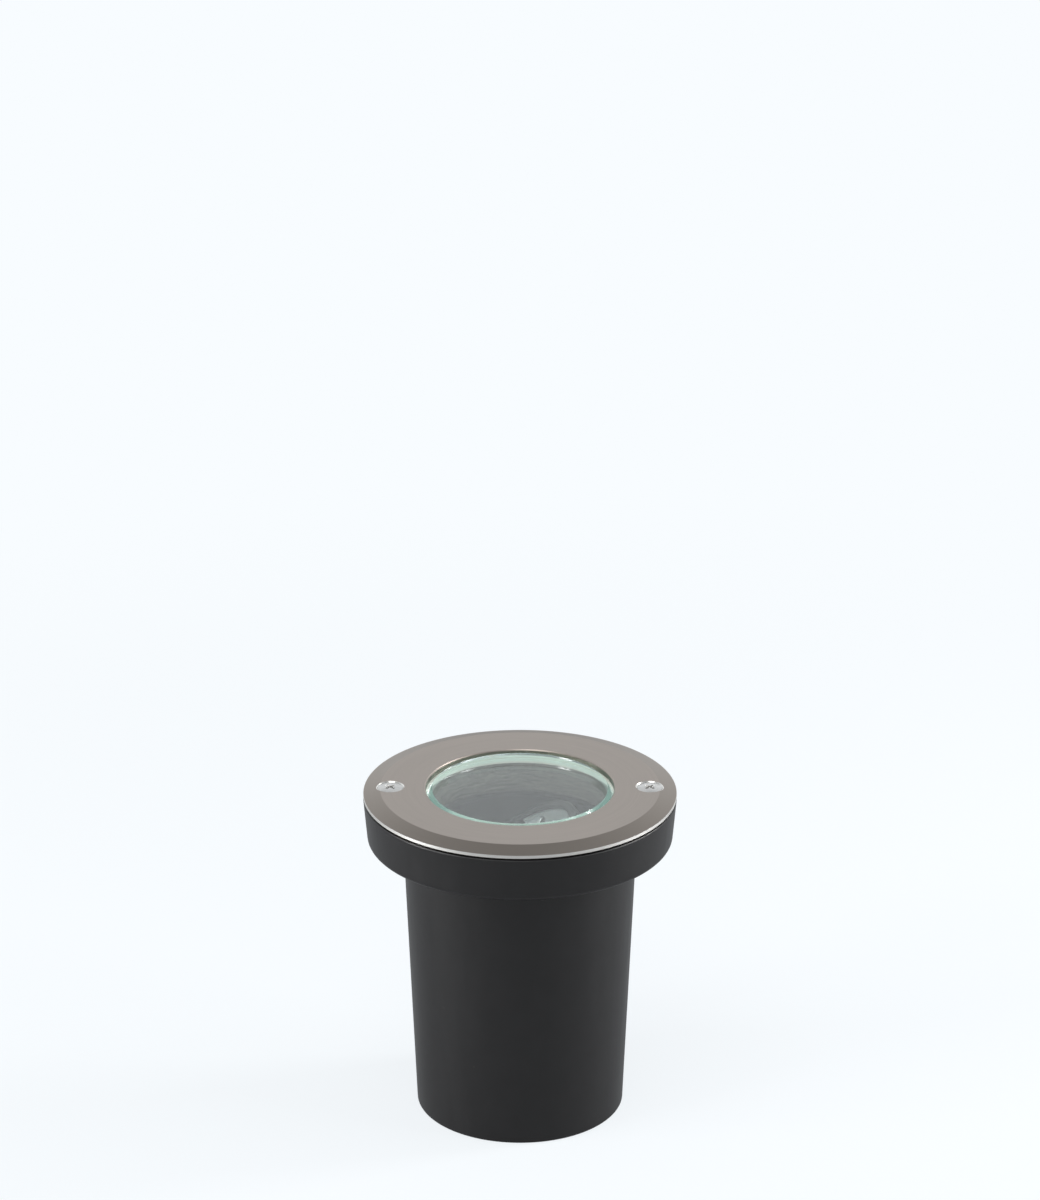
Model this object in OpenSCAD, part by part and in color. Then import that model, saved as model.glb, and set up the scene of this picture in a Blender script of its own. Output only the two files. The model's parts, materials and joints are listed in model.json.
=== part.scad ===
// In ground well light. A buried mounting sleeve carries a ribbed lamp housing, a tilting
// lamp module, a glass in its gasket and a screwed cover ring.
// The sleeve stands on z = 0 with its axis on the z axis. The cover screws lie on the
// x axis, the lamp tilts about the y axis, and the front is at -y.

/* [Lamp module] */
// Diameter of the clear front optic
optic_d = 50; // [40:0.5:58]
// Thickness of the front plate of the optic
optic_t = 2; // [1.2:0.1:3]
// Depth of the light guides behind the front plate
guide_h = 3.4; // [2:0.1:5]
// Diameter of a light guide at the front plate
guide_d = 12.6; // [8:0.1:14]
// Diameter of a light guide at its light emitter
guide_tip_d = 6; // [4:0.1:7]
// Radius of the circle of outer light guides
guide_circle_r = 15.4; // [14.5:0.1:16]
// Number of outer light guides
guide_count = 6; // [3:1:6]
// Side of a square light emitter
chip_w = 3.2; // [2:0.1:4]
// Height of a light emitter
chip_h = 0.9; // [0.5:0.1:1.5]
// Radial gap between the circuit board and the cup of the heat sink
board_gap = 3.1; // [0.6:0.1:4]
// Thickness of the circuit board
board_t = 1.6; // [1:0.1:2]
// Thickness of the plate of the heat sink
sink_plate_t = 2.5; // [2:0.1:3.5]
// Wall of the cup of the heat sink
sink_cup_wall = 1.4; // [1:0.1:1.8]
// Diameter of the stem between the plate and the drum of the heat sink
stem_d = 26; // [25:0.1:30]
// Height of that stem
stem_h = 3.9; // [3.5:0.1:5]
// Height of the plain rim above the finned drum
sink_rim_h = 1.1; // [0.6:0.1:1.2]
// Height of the groove between the rim and the finned drum
sink_groove_h = 0.35; // [0.2:0.05:0.5]
// Depth of that groove
sink_groove_depth = 1; // [0.5:0.1:1.5]
// Diameter of the finned drum of the heat sink
drum_d = 33.2; // [31:0.1:36]
// Height of the finned drum
drum_h = 4.6; // [3:0.1:7]
// Number of fin grooves round the drum
fin_count = 24; // [12:1:30]
// Width of a fin groove
fin_groove_w = 0.8; // [0.6:0.1:1.6]
// Depth of a fin groove
fin_groove_depth = 0.8; // [0.6:0.1:2]
// Diameter of the driver pot
driver_d = 20.4; // [16:0.1:21]
// Height of the driver pot
driver_h = 4.5; // [3:0.1:6]
// Diameter of a contact pin
pin_d = 1.6; // [1:0.1:2]
// Length of a contact pin below the driver pot
pin_len = 2.6; // [2:0.1:3]
// Distance between the two contact pins
pin_pitch = 5.3; // [4:0.1:10]

/* [Tilt ring and lamp cage] */
// Wall of the tilt ring
tilt_wall = 1.5; // [1.2:0.1:2.2]
// Height of the tilt ring
tilt_ring_h = 13.3; // [12.6:0.1:15]
// Height of the rim of the tilt ring above the pivot
tilt_rim_rise = 5.65; // [5.2:0.05:6.2]
// Thickness of the inward lip of the tilt ring
tilt_lip_t = 1.2; // [0.8:0.1:1.5]
// Width of that lip
tilt_lip_w = 1.9; // [1:0.1:2.4]
// Angle of the lamp at rest, right side up
tilt_rest = 33; // [0:1:35]
// Sheet thickness of the lamp cage
cage_t = 0.9; // [0.6:0.1:1.2]
// Height of the lower tier of the cage
cage_tier_h = 6.4; // [5:0.1:8]
// Number of windows in the lower tier
cage_window_count = 2; // [2:1:3]
// Angle that a window takes
cage_window_angle = 80; // [40:1:84]
// Width of a screw tab of the cage
cage_tab_w = 7; // [6.2:0.1:8]
// Height of a screw tab above the foot of the tilt ring
cage_tab_h = 4.4; // [4:0.1:4.8]
// Length of a small slot in the lower tier
cage_slot_len = 3.3; // [2:0.1:4]
// Height of a small slot
cage_slot_h = 1.5; // [0.8:0.1:2]
// Head diameter of a cage screw
cage_screw_head_d = 5.4; // [4:0.1:5.6]
// Head height of a cage screw
cage_screw_head_h = 1.3; // [0.8:0.05:1.4]
// Shank diameter of a cage screw
cage_screw_d = 2.5; // [2:0.1:3]
// Distance of a cage screw below the pivot
cage_screw_drop = 5.4; // [5.3:0.05:5.6]

/* [Gimbal ring] */
// Wall of the gimbal ring
gimbal_wall = 1.5; // [1.2:0.1:2.5]
// Height of the wall below the lip
gimbal_wall_h = 15; // [14:0.1:20]
// Draft of the wall from its foot to the lip
gimbal_draft = 0.5; // [0.1:0.1:1.5]
// Thickness of the lip
gimbal_lip_t = 1.3; // [1:0.1:2]
// Width of the lip beyond the throat of the housing
gimbal_lip_w = 1.8; // [1:0.1:3]
// Width of the bead under the lip
gimbal_bead_w = 0.5; // [0.2:0.1:1]
// Height of the bead under the lip
gimbal_bead_h = 1.2; // [0.6:0.1:2]
// Distance of the pivot below the seat of the lip
pivot_drop = 11.25; // [10.5:0.05:12]
// Shank diameter of a hollow pivot rivet
rivet_d = 3.2; // [2.6:0.1:3.4]
// Bore of a hollow pivot rivet
rivet_bore_d = 2.5; // [1.6:0.1:2.5]
// Diameter of the rolled head of a rivet
rivet_head_d = 3.9; // [3.6:0.1:5]
// Thickness of the rolled head
rivet_head_t = 0.45; // [0.3:0.05:0.5]

/* [Lamp housing] */
// Height of the housing with its flange
housing_h = 104; // [98:0.5:140]
// Thickness of the flange
flange_t = 6.5; // [4:0.1:10]
// Flange material outside the screw holes
flange_edge = 1.9; // [1.5:0.1:5]
// Depth of the gasket recess below the top of the flange
recess_depth = 5.2; // [3:0.1:6]
// Draft of the gasket recess
recess_draft = 1.3; // [0.2:0.1:2]
// Width of the ledge that the gasket seats on
gasket_seat_w = 2.9; // [2:0.1:5]
// Depth of the gimbal ledge below the top of the flange
gimbal_depth = 17.3; // [16.8:0.1:24]
// Draft of the bore above the gimbal ledge
cone_draft = 1.3; // [0.3:0.1:2.5]
// Wall beside the bore, below the flange
housing_wall = 1.5; // [1.2:0.1:3]
// Wall at the foot of the housing
housing_foot_wall = 3.7; // [2:0.1:4.5]
// Thickness of the floor
housing_floor_t = 4; // [3:0.1:7]
// Taper of the housing body in radius, from flange to foot
housing_taper = 4.8; // [2:0.1:6]
// Rounding of the foot
housing_foot_round = 3; // [1:0.1:3.5]
// Number of outside ribs
rib_count = 24; // [12:1:30]
// Width of a rib
rib_w = 3.4; // [2:0.1:5]
// Height of a rib above the body
rib_h = 0.9; // [0.4:0.1:1.5]
// Distance of the rib ends above the foot
rib_foot_rise = 12.4; // [6:0.1:30]
// Diameter of the holes through the flange
flange_hole_d = 5.2; // [4.6:0.1:6.5]
// Flange material between the gasket recess and the holes
flange_land = 2.74; // [2:0.02:6]

/* [Gasket and glass] */
// Height of the gasket as clamped
gasket_h = 9.4; // [8.6:0.1:12]
// Side wall of the gasket outside the glass
gasket_wall = 3.3; // [2.5:0.1:5]
// Rounding of the outer edges of the gasket
gasket_round = 1.8; // [0.6:0.1:2]
// Thickness of the gasket under the glass
gasket_floor_t = 1.8; // [1:0.1:2.4]
// Thickness of the gasket lip on the shoulder of the glass
gasket_lip_t = 1.4; // [0.8:0.1:1.6]
// Width of the shoulder of the glass
glass_shoulder_w = 2.6; // [1.5:0.1:4]
// Height of the lower disc of the glass
glass_disc_h = 4.6; // [3:0.1:5]
// Height of the green bevel of the glass
glass_bevel_h = 2.5; // [1:0.1:3]
// Width of that bevel
glass_bevel_w = 1.7; // [0.5:0.1:2.5]

/* [Cover ring] */
// Thickness of the cover ring
ring_t = 3; // [2.9:0.1:5]
// Height of the upright edge of the ring
ring_edge_h = 1.4; // [0.8:0.1:2]
// Width of the bevel that leads to that edge
ring_bevel_w = 6; // [2:0.1:6.5]
// Depth of the recess under the ring that takes the gasket
ring_recess = 0.8; // [0.4:0.1:1.2]
// Diameter of the stud thread
stud_d = 4; // [3:0.1:4.2]
// Number of studs
stud_count = 4; // [2:2:4]
// Across flats of a stud nut
nut_flats = 7; // [6:0.1:8]
// Height of a stud nut
nut_h = 3.2; // [2.4:0.1:5]
// Outer diameter of a spring washer
washer_d = 7.2; // [6:0.1:8]
// Thickness of a spring washer
washer_t = 1; // [0.6:0.1:1.5]

/* [Cover screws] */
// Diameter of the screw head
screw_head_d = 9; // [7:0.1:9.6]
// Diameter of the screw under its thread
screw_core_d = 3; // [2:0.1:3.4]
// Diameter of the countersink at the top of the ring
countersink_d = 10; // [9.8:0.1:10.6]
// Diameter of the screw hole through the ring
ring_hole_d = 4.8; // [4.4:0.1:5.4]
// Height of the domed top of the screw head
screw_dome_h = 0.4; // [0.2:0.05:0.8]

/* [Mounting sleeve] */
// Wall of the collar
collar_wall = 1.8; // [1.2:0.1:4]
// Gap between the flange of the housing and the collar
collar_gap = 3.2; // [1:0.1:6]
// Draft of the collar from its rim to its foot
collar_draft = 1.2; // [0.1:0.1:1.5]
// Rounding of the foot of the collar
collar_round = 2; // [0.5:0.1:3]
// Thickness of the ledge inside the collar
ledge_t = 1.8; // [1.2:0.1:4]
// Wall of the sleeve below the collar
sleeve_wall = 1.8; // [1.2:0.1:4]
// Taper of the sleeve in radius, from collar to foot
sleeve_taper = 4.2; // [1:0.1:5]
// Width of the inward lip at the foot
foot_lip_w = 3; // [1:0.1:5]
// Thickness of that lip
foot_lip_t = 2; // [1:0.1:2.4]
// Diameter of a screw boss
boss_d = 6.4; // [5:0.1:8]

/* [Cable gland] */
// Thread diameter of the gland where it passes the floor
gland_thread_d = 12; // [10:0.1:14]
// Bore for the cable
cable_bore_d = 6; // [4:0.1:7]
// Across flats of the gland body
gland_flats = 15; // [14:0.1:18]
// Height of the flats of the gland body
gland_hex_h = 2.6; // [2:0.1:4]
// Thickness of the sealing washer under the housing
gland_washer_t = 0.8; // [0.5:0.1:1.5]
// Height of the cap nut
gland_cap_h = 5.7; // [5:0.1:9]
// Diameter of the round end of the cap nut
gland_cap_d = 13.4; // [12.6:0.1:14]
// Across flats of the cap nut
gland_cap_flats = 14; // [13.4:0.1:17]
// Across flats of the locknut
locknut_flats = 17; // [16:0.1:19]
// Height of the locknut
locknut_h = 3; // [2:0.1:4]

/* [Terminal block] */
// Distance between the poles
pole_pitch = 7.4; // [6.8:0.1:8]
// Number of poles
pole_count = 3; // [2:1:3]
// Depth of the block from front to back
block_depth = 12; // [10:0.1:13]
// Height of the block
block_h = 11; // [9:0.1:14]
// Diameter of a brass clamp tube
tube_d = 4; // [3:0.1:4.4]
// Bore of a clamp tube
tube_bore_d = 2.8; // [2:0.1:3]
// Diameter of a clamp screw
clamp_screw_d = 2.6; // [2:0.1:3]
// Shank diameter of a screw that holds the block
block_screw_d = 2; // [1.6:0.1:2.2]

/* [Fits and clearances] */
// Radial gap between the lamp and the tilt ring
lamp_gap = 0.5; // [0.3:0.05:1]
// Radial gap between the swing of the tilt ring and the gimbal ring
swing_gap = 1.34; // [1:0.02:2]
// Radial gap between the gimbal ring and the throat of the housing
gimbal_fit = 0.3; // [0.1:0.05:1]
// Radial gap round the lip of the gimbal ring
gimbal_lip_gap = 0.7; // [0.3:0.1:1.5]
// Radial gap between the gasket and its recess
gasket_gap = 0.4; // [0.2:0.05:1]
// Radial gap between the glass and the opening of the ring
glass_gap = 0.5; // [0.2:0.05:1]
// Depth of the glass below the top of the ring
glass_drop = 0.4; // [0.1:0.05:1]
// Gap between the rim of the sleeve and the cover ring
rim_gap = 0.4; // [0.1:0.05:1.5]
// Radial gap between the ribs and the sleeve
sleeve_gap = 1; // [0.4:0.1:3]
// Height of the gland above the ground
foot_clearance = 1.7; // [0.5:0.1:20]
// Radial clearance of a pin, thread or shank in its hole
fit = 0.06; // [0.04:0.01:0.1]
// Gap between pieces that are seated loosely
seat_gap = 0.15; // [0.1:0.01:0.25]
// Gap between a nut and the ledge below it
nut_clear = 0.5; // [0.3:0.1:2]

/* [Hidden] */
$fn = 96;
cut = 1;

// Radii from the lamp outwards
optic_r = optic_d / 2;
board_r = optic_r - sink_cup_wall - board_gap;
tilt_bore_r = optic_r + lamp_gap;
tilt_r = tilt_bore_r + tilt_wall;
tilt_foot_drop = tilt_ring_h - tilt_rim_rise;
swing_r = norm([tilt_r, max(tilt_rim_rise, tilt_foot_drop)]);
gimbal_foot_bore_r = swing_r + swing_gap;
gimbal_foot_r = gimbal_foot_bore_r + gimbal_wall;
gimbal_bead_r = gimbal_foot_r + gimbal_draft + gimbal_bead_w;
throat_r = gimbal_bead_r + gimbal_fit;
gimbal_lip_r = throat_r + gimbal_lip_w;
cone_foot_r = gimbal_lip_r + gimbal_lip_gap;
cone_top_r = cone_foot_r + cone_draft;
recess_foot_r = cone_top_r + gasket_seat_w;
recess_top_r = recess_foot_r + recess_draft;
gasket_r = recess_foot_r - gasket_gap;
glass_r = gasket_r - gasket_wall;
glass_raised_r = glass_r - glass_shoulder_w;
ring_opening_r = glass_raised_r + glass_gap;
bolt_circle_r = recess_top_r + flange_land + flange_hole_d / 2;
flange_r = bolt_circle_r + flange_hole_d / 2 + flange_edge;
body_top_r = cone_top_r + housing_wall;
body_foot_r = body_top_r - housing_taper;
housing_foot_bore_r = body_foot_r - housing_foot_wall;
sleeve_bore_r = body_top_r + rib_h + sleeve_gap;
sleeve_foot_bore_r = sleeve_bore_r - sleeve_taper;
collar_bore_r = flange_r + collar_gap;
collar_r = collar_bore_r + collar_wall;
ring_r = collar_r;

// Heights from the ground upwards
gland_cap_gap = seat_gap;
gland_drop = gland_washer_t + gland_hex_h + gland_cap_gap + gland_cap_h;
housing_z = foot_clearance + gland_drop;
floor_z = housing_z + housing_floor_t;
flange_top_z = housing_z + housing_h;
flange_z = flange_top_z - flange_t;
gasket_z = flange_top_z - recess_depth;
gasket_top_z = gasket_z + gasket_h;
ring_z = gasket_top_z - ring_recess;
ring_top_z = ring_z + ring_t;
sleeve_h = ring_z - rim_gap;
boss_h = washer_t + nut_h + nut_clear;
ledge_z = flange_z - boss_h;
collar_z = ledge_z - ledge_t;
gimbal_z = flange_top_z - gimbal_depth;
pivot_z = gimbal_z - pivot_drop;
glass_z = gasket_z + gasket_floor_t;
glass_top_z = ring_top_z - glass_drop;

// Heights inside the lamp module, measured from the pivot
tilt_foot_u = -tilt_foot_drop;
optic_top_u = tilt_rim_rise - tilt_lip_t;
optic_u = optic_top_u - optic_t;
guide_tip_u = optic_u - guide_h;
board_top_u = guide_tip_u - seat_gap - chip_h;
board_u = board_top_u - board_t;
plate_u = board_u - sink_plate_t;
drum_top_u = plate_u - stem_h;
drum_u = drum_top_u - drum_h;
cage_u = tilt_foot_u - cage_t;
tier_foot_u = cage_u - cage_tier_h;
tier_bore_r = drum_d / 2 + seat_gap;
tier_r = tier_bore_r + cage_t;
pot_bore_r = driver_d / 2 + seat_gap;
notch_w = cage_tab_w + 2 * lamp_gap;
tab_r = tilt_bore_r - fit;
notch_y = tab_r - cage_t - 2 * lamp_gap - cage_t;

// Small edge sizes
edge = 0.4;
soft_edge = 0.8;
arc_steps = 5;

// Terminal block place
block_w = pole_count * pole_pitch;
block_pad_h = 1.2;
block_front_y = locknut_flats / sqrt(3) + soft_edge + edge;
block_z = floor_z + block_pad_h;
tube_z = block_z + block_h / 2 - soft_edge;
block_mid_y = block_front_y + block_depth / 2;
clamp_share = 0.28;

// Points of an arc about a centre, from one angle to another
function arc_points(centre, r, from, to) =
    [for (i = [0:arc_steps]) let (a = from + (to - from) * i / arc_steps)
        [centre[0] + r * cos(a), centre[1] + r * sin(a)]];

// Outside radius of the housing body at a height
function body_r(z) =
    body_foot_r + (body_top_r - body_foot_r) * (z - housing_z) / (flange_z - housing_z);

// Inside radius of the gimbal ring at a height
function gimbal_bore_r(z) =
    gimbal_foot_bore_r + gimbal_draft * (z - (gimbal_z - gimbal_wall_h)) / gimbal_wall_h;

// A turned piece from its half profile
module turned(points) {
    rotate_extrude() polygon(points);
}

// A plain ring with its foot at z
module ring_at(z, h, r_out, r_in) {
    translate([0, 0, z]) difference() {
        cylinder(h = h, r = r_out);
        translate([0, 0, -cut]) cylinder(h = h + 2 * cut, r = r_in);
    }
}

// Copies on a circle, the first at a start angle
module on_circle(count, r, start) {
    for (i = [0:count - 1]) rotate(start + i * 360 / count) translate([r, 0, 0]) children();
}

// The lamp module is drawn about its pivot, then tilted into place
module tilted() {
    translate([0, 0, pivot_z]) rotate([0, -tilt_rest, 0]) children();
}

// A cylinder along y on the front and the back side, between two distances from the axis
module side_pins(from, to, r) {
    for (side = [0, 180]) rotate(side) translate([0, -from, 0]) rotate([90, 0, 0])
        cylinder(h = to - from, r = r);
}

// A hexagonal prism from its width across flats
module hexagon(flats, h) {
    cylinder(h = h, r = flats / sqrt(3), $fn = 6);
}

module mounting_sleeve() {
    sleeve_top_r = sleeve_bore_r + sleeve_wall;
    sleeve_foot_r = sleeve_foot_bore_r + sleeve_wall;
    collar_foot_r = collar_r - collar_draft;
    step_r = sleeve_top_r + edge;
    color([0.17, 0.17, 0.18]) difference() {
        union() {
            turned(concat(
                [[sleeve_foot_bore_r - foot_lip_w, 0]],
                arc_points([sleeve_foot_r - soft_edge, soft_edge], soft_edge, -90, 0),
                [[sleeve_top_r, collar_z - soft_edge], [step_r, collar_z - soft_edge],
                    [step_r, collar_z]],
                arc_points([collar_foot_r - collar_round, collar_z + collar_round],
                    collar_round, -90, 0),
                arc_points([collar_r - edge, sleeve_h - edge], edge, 0, 90),
                [[collar_bore_r, sleeve_h], [collar_bore_r, ledge_z + soft_edge],
                    [collar_bore_r - soft_edge, ledge_z], [sleeve_bore_r + soft_edge, ledge_z],
                    [sleeve_bore_r, ledge_z - soft_edge], [sleeve_foot_bore_r, foot_lip_t],
                    [sleeve_foot_bore_r - foot_lip_w, foot_lip_t]]));
            on_circle(2, bolt_circle_r, 0) translate([0, 0, ledge_z - ledge_t / 2])
                cylinder(h = boss_h + ledge_t / 2, r = boss_d / 2);
        }
        on_circle(2, bolt_circle_r, 0) translate([0, 0, collar_z - cut])
            cylinder(h = ledge_t + boss_h + 2 * cut, r = screw_core_d / 2 + fit);
    }
}

// One outside rib of the housing, drawn in the plane through the axis
module housing_rib() {
    rib_foot_z = housing_z + rib_foot_rise;
    rib_top_z = flange_z + edge;
    sunk = housing_wall / 2;
    rotate([90, 0, 0]) linear_extrude(height = rib_w, center = true) polygon([
        [body_r(rib_foot_z) - sunk, rib_foot_z],
        [body_r(rib_foot_z) + rib_h - edge, rib_foot_z],
        [body_r(rib_foot_z) + rib_h, rib_foot_z + soft_edge],
        [body_r(flange_z) + rib_h, rib_top_z],
        [body_r(flange_z) - sunk, rib_top_z]]);
}

module lamp_housing() {
    mark_r = 1;
    mark_depth = 1.5;
    mark_angles = [13, 38, 193, 232];
    color([0.27, 0.27, 0.28]) difference() {
        union() {
            turned(concat(
                [[0, housing_z]],
                arc_points([body_foot_r - housing_foot_round, housing_z + housing_foot_round],
                    housing_foot_round, -90, 0),
                [[body_top_r, flange_z], [flange_r - edge, flange_z],
                    [flange_r, flange_z + edge], [flange_r, flange_top_z - soft_edge],
                    [flange_r - soft_edge, flange_top_z], [recess_top_r, flange_top_z],
                    [recess_foot_r, gasket_z], [cone_top_r, gasket_z],
                    [cone_foot_r, gimbal_z], [throat_r, gimbal_z],
                    [housing_foot_bore_r, floor_z], [0, floor_z]]));
            on_circle(rib_count, 0, 180 / rib_count) housing_rib();
            for (side = [-1, 1]) translate([side * block_w / 2 / pole_count, block_mid_y, floor_z])
                translate([0, 0, -cut]) cylinder(h = block_pad_h + cut, r = soft_edge + tube_d / 2);
        }
        translate([0, 0, housing_z - cut])
            cylinder(h = housing_floor_t + 2 * cut, r = gland_thread_d / 2 + fit);
        translate([0, 0, flange_z - cut]) {
            on_circle(2, bolt_circle_r, 0) cylinder(h = flange_t + 2 * cut, r = flange_hole_d / 2);
            on_circle(stud_count, bolt_circle_r, 180 / stud_count)
                cylinder(h = flange_t + 2 * cut, r = flange_hole_d / 2);
        }
        for (a = mark_angles) rotate(a) translate([bolt_circle_r, 0, flange_top_z - mark_depth])
            cylinder(h = mark_depth + cut, r = mark_r);
        for (side = [-1, 1]) translate([side * block_w / 2 / pole_count, block_mid_y,
                floor_z - housing_floor_t / 2])
            cylinder(h = housing_floor_t + block_pad_h, r = block_screw_d / 2 + fit);
    }
}

module stud_nuts() {
    color([0.75, 0.74, 0.72]) on_circle(stud_count, bolt_circle_r, 180 / stud_count)
        translate([0, 0, flange_z - washer_t - nut_h]) difference() {
            hexagon(nut_flats, nut_h);
            translate([0, 0, -cut]) cylinder(h = nut_h + 2 * cut, r = stud_d / 2 + fit);
        }
}

module spring_washers() {
    split_w = 0.6;
    color([0.62, 0.62, 0.62]) on_circle(stud_count, bolt_circle_r, 180 / stud_count)
        difference() {
            ring_at(flange_z - washer_t, washer_t, washer_d / 2, stud_d / 2 + fit);
            translate([0, -split_w / 2, flange_z - washer_t - cut])
                cube([washer_d, split_w, washer_t + 2 * cut]);
        }
}

// Gland sizes shared by its pieces
gland_hex_z = housing_z - gland_washer_t - gland_hex_h;
gland_cap_z = gland_hex_z - gland_cap_gap - gland_cap_h;
gland_cap_wall = 1.3;
gland_seal_wall = 1.4;
stem_start_share = 0.4;
seal_overlap_share = 0.35;
gland_stem_r = gland_cap_d / 2 - gland_cap_wall;
gland_seal_r = cable_bore_d / 2 + gland_seal_wall;
gland_stem_z = gland_cap_z + gland_cap_h * stem_start_share;
gland_seal_top_z = gland_stem_z + gland_cap_h * seal_overlap_share;

module gland_body() {
    color([0.13, 0.13, 0.14]) difference() {
        union() {
            translate([0, 0, gland_hex_z]) hexagon(gland_flats, gland_hex_h);
            translate([0, 0, gland_hex_z])
                cylinder(h = floor_z + locknut_h + soft_edge - gland_hex_z, r = gland_thread_d / 2);
            translate([0, 0, gland_stem_z])
                cylinder(h = gland_hex_z + edge - gland_stem_z, r = gland_stem_r);
        }
        translate([0, 0, gland_stem_z - cut])
            cylinder(h = floor_z + housing_h, r = gland_seal_r - edge);
        translate([0, 0, gland_stem_z - cut])
            cylinder(h = gland_seal_top_z - gland_stem_z + cut, r = gland_seal_r);
    }
}

module gland_washer() {
    color([0.1, 0.1, 0.1])
        ring_at(housing_z - gland_washer_t, gland_washer_t, gland_flats / 2, gland_thread_d / 2 + fit);
}

module gland_locknut() {
    color([0.13, 0.13, 0.14]) translate([0, 0, floor_z]) difference() {
        hexagon(locknut_flats, locknut_h);
        translate([0, 0, -cut]) cylinder(h = locknut_h + 2 * cut, r = gland_thread_d / 2 + fit);
    }
}

module gland_seal() {
    seal_z = gland_cap_z + soft_edge;
    color([0.08, 0.08, 0.08])
        ring_at(seal_z, gland_seal_top_z - seal_z, gland_seal_r, cable_bore_d / 2);
}

module gland_cap() {
    cap_r = gland_cap_d / 2;
    corner_r = gland_cap_flats / sqrt(3);
    mouth_r = cable_bore_d / 2 + edge;
    dome_z = gland_cap_z + gland_cap_h * stem_start_share;
    color([0.15, 0.15, 0.16]) difference() {
        union() {
            turned(concat(
                [[0, gland_cap_z], [mouth_r + soft_edge, gland_cap_z]],
                arc_points([cap_r - 2 * soft_edge, gland_cap_z + 2 * soft_edge], 2 * soft_edge, -90, 0),
                [[cap_r, gland_cap_z + gland_cap_h], [0, gland_cap_z + gland_cap_h]]));
            intersection() {
                translate([0, 0, dome_z]) hexagon(gland_cap_flats, gland_cap_z + gland_cap_h - dome_z);
                turned([[0, dome_z], [cap_r, dome_z], [corner_r, dome_z + soft_edge],
                    [corner_r, gland_cap_z + gland_cap_h - edge],
                    [corner_r - edge, gland_cap_z + gland_cap_h], [0, gland_cap_z + gland_cap_h]]);
            }
        }
        translate([0, 0, gland_cap_z - cut]) cylinder(h = gland_cap_h, r = mouth_r);
        translate([0, 0, gland_cap_z + soft_edge])
            cylinder(h = gland_stem_z - gland_cap_z - soft_edge + cut, r = gland_seal_r + fit);
        translate([0, 0, gland_stem_z - fit])
            cylinder(h = gland_cap_h + cut, r = gland_stem_r + fit);
    }
}

// Places of the poles across the block
pole_xs = [for (i = [0:pole_count - 1]) (i - (pole_count - 1) / 2) * pole_pitch];

module terminal_block() {
    color([0.9, 0.9, 0.86]) difference() {
        translate([-block_w / 2, block_front_y, block_z]) cube([block_w, block_depth, block_h]);
        for (x = pole_xs) {
            translate([x, block_front_y - cut, tube_z]) rotate([-90, 0, 0])
                cylinder(h = block_depth + 2 * cut, r = tube_d / 2 + fit);
            for (side = [-1, 1]) translate([x, block_mid_y + side * clamp_share * block_depth, tube_z])
                cylinder(h = block_h, r = clamp_screw_d / 2 + fit);
        }
        for (side = [-1, 1]) translate([side * block_w / 2 / pole_count, block_mid_y, block_z - cut])
            cylinder(h = block_h + 2 * cut, r = block_screw_d / 2 + fit);
    }
}

module terminal_tubes() {
    color([0.78, 0.63, 0.3]) for (x = pole_xs)
        translate([x, block_front_y + edge, tube_z]) rotate([-90, 0, 0]) difference() {
            cylinder(h = block_depth - 2 * edge, r = tube_d / 2);
            translate([0, 0, -cut]) cylinder(h = block_depth + 2 * cut, r = tube_bore_d / 2);
        }
}

module terminal_screws() {
    slot_w = 0.5;
    screw_z = tube_z + tube_d / 2 + fit;
    screw_h = block_z + block_h - screw_z - edge;
    color([0.75, 0.74, 0.72]) for (x = pole_xs, side = [-1, 1])
        translate([x, block_mid_y + side * clamp_share * block_depth, screw_z]) difference() {
            cylinder(h = screw_h, r = clamp_screw_d / 2);
            translate([-clamp_screw_d, -slot_w / 2, screw_h - soft_edge])
                cube([2 * clamp_screw_d, slot_w, soft_edge + cut]);
        }
}

module block_screws() {
    slot_w = 0.5;
    head_h = 1.2;
    head_r = 1.8;
    color([0.75, 0.74, 0.72]) for (side = [-1, 1])
        translate([side * block_w / 2 / pole_count, block_mid_y, 0]) difference() {
            union() {
                translate([0, 0, floor_z - housing_floor_t / 2 + edge])
                    cylinder(h = block_z + block_h - floor_z + housing_floor_t / 2,
                        r = block_screw_d / 2);
                translate([0, 0, block_z + block_h]) cylinder(h = head_h, r = head_r);
            }
            translate([-2 * head_r, -slot_w / 2, block_z + block_h + head_h / 2])
                cube([4 * head_r, slot_w, head_h]);
        }
}

module gimbal_ring() {
    foot_z = gimbal_z - gimbal_wall_h;
    top_bore_r = gimbal_foot_bore_r + gimbal_draft;
    top_z = gimbal_z + gimbal_lip_t;
    color([0.07, 0.07, 0.07]) difference() {
        turned(concat(
            [[gimbal_foot_bore_r, foot_z], [gimbal_foot_r, foot_z],
                [top_bore_r + gimbal_wall, gimbal_z - gimbal_bead_h],
                [gimbal_bead_r, gimbal_z - gimbal_bead_h], [gimbal_bead_r, gimbal_z]],
            arc_points([gimbal_lip_r - gimbal_lip_t / 2, gimbal_z + gimbal_lip_t / 2],
                gimbal_lip_t / 2, -90, 90),
            [[top_bore_r + edge, top_z], [top_bore_r, top_z - edge]]));
        translate([0, 0, pivot_z])
            side_pins(gimbal_foot_bore_r - cut, gimbal_bead_r + cut, rivet_d / 2 + fit / 2);
    }
}

// Outside of the gimbal wall at the pivot
pivot_wall_r = gimbal_bore_r(pivot_z) + gimbal_wall;

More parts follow.
